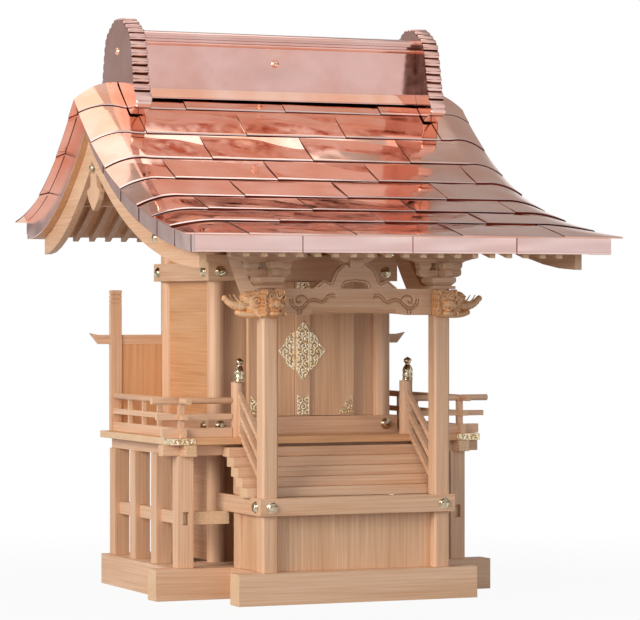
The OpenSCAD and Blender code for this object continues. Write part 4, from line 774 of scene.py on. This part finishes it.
verts, faces, marks = carvedBeam()
makePiece("porch_beam_carved", verts, faces, frameWood[0], "hinoki_frame", ["porch_beam"], crease=50, marks=marks,
          others=[shadeWood])

# a fine line follows the edges of the strut, as a bead laid half into its face; the outline is in shares
strut = dict(
    outline=[(0, 0.29), (0.1, 0.26), (0.19, 0.26), (0.28, 0.18), (0.33, 0), (1, 0), (0.99, 0.05),
             (0.88, 0.185), (0.8, 0.305), (0.745, 0.32), (0.655, 0.257), (0.587, 0.223), (0.556, 0.332),
             (0.52, 0.48), (0.474, 0.653), (0.428, 0.736), (0.34, 0.872), (0.278, 0.917)],
    outer=dict(inset=2.0, radius=0.55, skip=4), arch=dict(inset=1.6, radius=0.5, skip=0))
low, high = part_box("frog_leg_strut")
outline = np.array(strut["outline"])
outline = np.c_[outline[:, 0] * high.x, low.z + outline[:, 1] / outline[-1, 1] * (high.z - low.z)] * 1000


def strutBead(points, count, inset, radius, skip):
    line = smoothLine(points, count)
    line = (line - sideways(line) * inset)[skip:]
    return tube(np.c_[line[:, 0], np.full(len(line), low.y * 1000), line[:, 1]], radius)


beads = [strutBead(outline[6:], 60, **strut["outer"]), strutBead(outline[:5], 30, **strut["arch"])]
# the bead takes the groove tones: painted shade that makes it read as a cut line
makePiece("frog_leg_bead", *paired(*beads), shadeWood, "hinoki_frame")

# a small square post stands where the rails cross at each corner
post = dict(half=2.9, railIn=3.25, foot=9.3, head=4)
low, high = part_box("railing_sides")
levels = low.z * 1000 + post["foot"], high.z * 1000 - post["head"]
railX = high.x * 1000 - post["railIn"]
low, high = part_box("railing_fronts")
railY = (low.y + high.y) * 500
corners = np.array([(-1, -1), (1, -1), (1, 1), (-1, 1)]) * post["half"] + (railX, railY)
shape = closedRings(np.stack([np.c_[corners, np.full(4, z)] for z in levels]))
makePiece("railing_corner_posts", *paired(shape), frameWood[2], "hinoki_frame", smooth=False)
print("porch carvings made")

# copper strips on eaves and verges, folded in lengths
strip = dict(
    inset=11.3, step=0.5, gap=0.4, line=0.3, back=3, under=2.1, bulge=0.22, hem=0.5, hemShare=0.08, sit=0.4,
    inner=1.2)
gable = dict(
    first=60, length=54.5, last=12, end=4.4, gap=0.5, line=0.4, height=24, under=2.05, bulge=0.2,
    sit=0.5, inner=1.3)


def jointMarks(faces, places, joints, line, cols):  # faces that lie on a joint between two lengths
    marks = np.zeros(len(faces), dtype=int)
    onJoint = np.abs((places[1:, None] + places[:-1, None]) / 2 - joints).min(1) < line
    marks[:onJoint.size * cols] = np.repeat(onJoint, cols)
    return marks


def eaveStrip(slope):
    # a tall thin strip along x: lengths that lap at the joints, with a folded foot
    side, run, foot = slope["side"], slope["run"], slope["foot"]
    u = run - strip["back"]
    half = roof["half"] - roof["flare"] * (1 - (u / run) ** roof["flarePower"]) - strip["inset"]
    joints = np.array(slope["eaveJoints"], float)
    x = np.unique(np.r_[np.linspace(-half, half, 121), joints - strip["gap"], joints + strip["gap"]])
    t = np.array([0, 0.04, 0.1, 0.2, 0.35, 0.5, 0.65, 0.8, 0.92, 1.0])
    gx, gt = np.meshgrid(x, t, indexing="ij")
    part = np.searchsorted(joints, gx)
    left, right = np.r_[-half, joints][part], np.r_[joints, half][part]
    soft = ripples(gx + 150 * part, gt * 18, slope["eaveSeed"], 70) * np.sin(np.pi * gt)
    out = strip["step"] * (1 - (gx - left) / (right - left)) + strip["bulge"] * soft
    out = out + strip["hem"] * np.clip(1 - gt / strip["hemShare"], 0, 1)
    y = y0 + side * (u + out - strip["sit"])
    z = foot + (slope["eaveZ"] - strip["under"] - foot) * gt
    inner = np.full_like(gx, y0 + side * (u - strip["inner"]))
    v, f = closedSheet(np.stack([gx, y, z], -1), np.stack([gx, inner, z], -1))
    return v, (f if side < 0 else f[:, ::-1]), jointMarks(f, x, joints, strip["line"], len(t) - 1)


def vergeStrip(slope):
    # the same strip bent along a verge: it hangs below the lip, square to the slope, and laps at each joint
    side, run = slope["side"], slope["run"]
    joints = np.arange(gable["first"], run - gable["last"], gable["length"])
    u = np.unique(np.r_[np.linspace(0, run - gable["end"], 90), joints - gable["gap"], joints + gable["gap"]])
    t = np.linspace(0, 1, 7)
    gu, gt = np.meshgrid(u, t, indexing="ij")
    lip, face = roofFace(slope, gu, np.full_like(gu, 2.0))
    share = (lip - strip["inset"] - roof["crease"]) / (lip - roof["crease"])
    x, under = roofFace(slope, gu, 1 + share)
    above, below = np.maximum(gu - 0.5, 0), gu + 0.5
    fall = (roofFace(slope, above, gu * 0)[1] - roofFace(slope, below, gu * 0)[1]) / (below - above)
    lean = np.sqrt(1 + fall ** 2)
    foot = face - gable["height"] * (1 - 0.25 * (gu / run) ** 8) * lean
    part = np.searchsorted(joints, gu)
    begin, end = np.r_[0, joints][part], np.r_[joints, run][part]
    soft = ripples(gu + 90 * part, gt * 20, slope["vergeSeed"], 50) * np.sin(np.pi * gt)
    out = strip["step"] * (gu - begin) / (end - begin) + gable["bulge"] * soft
    z = foot + (under - gable["under"] * lean - foot) * gt
    y = y0 + side * gu
    v, f = closedSheet(np.stack([x + out - gable["sit"], y, z], -1),
                       np.stack([x - gable["inner"], y, z], -1))
    return v, (f if side < 0 else f[:, ::-1]), jointMarks(f, u, joints, gable["line"], len(t) - 1)


strips = [eaveStrip(slope) for slope in slopes.values()]
# faces on the joints of the strips take the dark copper: painted shade in the gaps
makePiece("eave_strip_sheets", *joined(*[s[:2] for s in strips]), edgeCopper, "copper_sheet",
          ["copper_eave_strips"], crease=25, marks=np.concatenate([s[2] for s in strips]), others=[gapShadeCopper])
strips = [vergeStrip(slope) for slope in slopes.values()]
makePiece("verge_strip_sheets", *paired(*[s[:2] for s in strips]), edgeCopper, "copper_sheet",
          ["copper_verge_strips"], crease=25, marks=np.concatenate([s[2] for s in strips] * 2), others=[gapShadeCopper])
print("edge strips made")

# camera, lamps, background and floor, in metres
view = dict(lens=173.27, sensor=36, at=(-1.2632, -2.9842, 0.2997), tilt=89.914, turn=-23.217)
camera = bpy.data.cameras.new("camera")
camera.lens, camera.sensor_width = view["lens"], view["sensor"]
eye = addObject("camera", camera)
eye.location = view["at"]
eye.rotation_euler = (math.radians(view["tilt"]), 0, math.radians(view["turn"]))
bpy.context.scene.camera = eye

white = (1.0, 1.0, 1.0)
lamps = dict(
    key=dict(at=(-2.3, -1.1, 1.0), size=1.2, power=54, tint=(1.0, 0.92, 0.82)),
    front=dict(at=(-0.4, -2.9, 0.55), size=1.1, power=14, tint=(0.92, 0.96, 1.0), mirrored=False),
    top=dict(at=(-0.9, 0.7, 2.1), size=1.8, power=8, tint=white),
    card=dict(at=(0.3, 0.75, 1.5), aim=(0.3, 0.75, 0.3), size=0.9, width=0.5, power=1.5, tint=white))
for name, lamp in lamps.items():
    light = bpy.data.lights.new(name, "AREA")
    light.energy, light.size, light.color = lamp["power"], lamp["size"], lamp["tint"]
    if "width" in lamp:
        light.shape, light.size_y = "RECTANGLE", lamp["width"]
    holder = addObject(name, light)
    holder.visible_glossy = lamp.get("mirrored", True)  # the front lamp does not show in the copper
    holder.location = lamp["at"]
    aim = np.array(lamp.get("aim", (0, 0, 0.3))) - np.array(lamp["at"])
    turn = math.atan2(aim[1], aim[0]) - math.pi / 2
    holder.rotation_euler = (math.atan2(math.hypot(aim[0], aim[1]), -aim[2]), 0, turn)

# background: walls seen level go dark, bright, dark and white round the shrine, from behind the camera to
# behind the shrine, and the ceiling is bright in front and greyer behind; camera and metal see it as it is,
# and it lights the wood more softly
studio = dict(
    ahead=(0.394, 0.919, 0), woodLight=0.55,
    walls=[(0.0, "4a4442"), (0.05, "6a6260"), (0.12, "f4ecee"), (0.2, "eae2e4"), (0.34, "847c7a"),
           (0.6, "6a6360"), (0.9, "b0a8a6"), (0.97, "ffffff")],
    behind=[(0.1, "c4c0c0"), (0.4, "b0aaa8"), (0.75, "b0acac"), (1.0, "f0eeee")],
    before=[(0.1, "c4c0c0"), (0.45, "fcfafa"), (1.0, "f4f2f2")])
world = bpy.data.worlds.new("studio")
bpy.context.scene.world = world
world.use_nodes = True
tree = world.node_tree
tree.nodes.clear()
direction = addNode(tree, "TexCoord")["Generated"]
axes = addNode(tree, "SeparateXYZ", {0: direction})
bearing = addNode(tree, "VectorMath", {0: direction, 1: studio["ahead"]}, operation="DOT_PRODUCT")
bearing = addNode(tree, "MapRange", {"Value": bearing["Value"], "From Min": -1.0, "From Max": 1.0})
walls = addNode(tree, "ValToRGB", {"Fac": bearing[0]}, studio["walls"])[0]
behind = addNode(tree, "ValToRGB", {"Fac": axes[2]}, studio["behind"])[0]
before = addNode(tree, "ValToRGB", {"Fac": axes[2]}, studio["before"])[0]
inFront = addNode(tree, "MapRange", {"Value": axes[1], "From Min": -0.1, "From Max": -0.4})[0]
ceiling = addNode(tree, "Mix", {0: inFront, 6: behind, 7: before}, data_type="RGBA")[2]
over = addNode(tree, "MapRange", {"Value": axes[2], "From Min": 0.1, "From Max": 0.3})[0]
sky = addNode(tree, "Mix", {0: over, 6: walls, 7: ceiling}, data_type="RGBA")[2]


def seenDirectly(tree):  # 1 for rays that show the background as it is
    rays = addNode(tree, "LightPath")
    total = rays["Is Camera Ray"]
    for name in ("Is Glossy Ray", "Is Transmission Ray"):
        total = addNode(tree, "Math", {0: total, 1: rays[name]}, operation="ADD", use_clamp=True)[0]
    return total


soft, bright = [addNode(tree, "Background", {"Color": sky, "Strength": strength})[0]
                for strength in (studio["woodLight"], 1.0)]
mixed = addNode(tree, "MixShader", {0: seenDirectly(tree), 1: soft, 2: bright})
addNode(tree, "OutputWorld", {"Surface": mixed[0]})

sweep = dict(half=20, grey=0.35, shadowTo=0.35, whiteFrom=0.9, shadow=0.94)
corners = np.array([(-1, -1, 0), (1, -1, 0), (1, 1, 0), (-1, 1, 0)]) * float(sweep["half"])
floorMesh = bpy.data.meshes.new("floor")
floorMesh.from_pydata(corners, [], [(0, 1, 2, 3)])
floor = addObject("floor", floorMesh)
# white paper: it keeps a soft shadow near the shrine and goes over into white
paper, tree = newMaterial("paper sweep, matt white")
shader = addNode(tree, "BsdfPrincipled", {"Base Color": (sweep["grey"],) * 3 + (1,), "Roughness": 0.9})
glow = addNode(tree, "Emission", {"Color": white + (1,), "Strength": 1.0})
far = addNode(tree, "TexCoord")["Object"]
far = addNode(tree, "VectorMath", {0: far}, operation="LENGTH")["Value"]
far = addNode(tree, "MapRange", {"Value": far, "From Min": sweep["shadowTo"], "From Max": sweep["whiteFrom"],
                                 "To Min": sweep["shadow"], "To Max": 1.0})
share = addNode(tree, "Math", {0: seenDirectly(tree), 1: far[0]}, operation="MULTIPLY")[0]
mixed = addNode(tree, "MixShader", {0: share, 1: shader[0], 2: glow[0]})
addNode(tree, "OutputMaterial", {"Surface": mixed[0]})
floorMesh.materials.append(paper)
bpy.context.scene.view_settings.view_transform = "Standard"
print("camera, light and floor set")
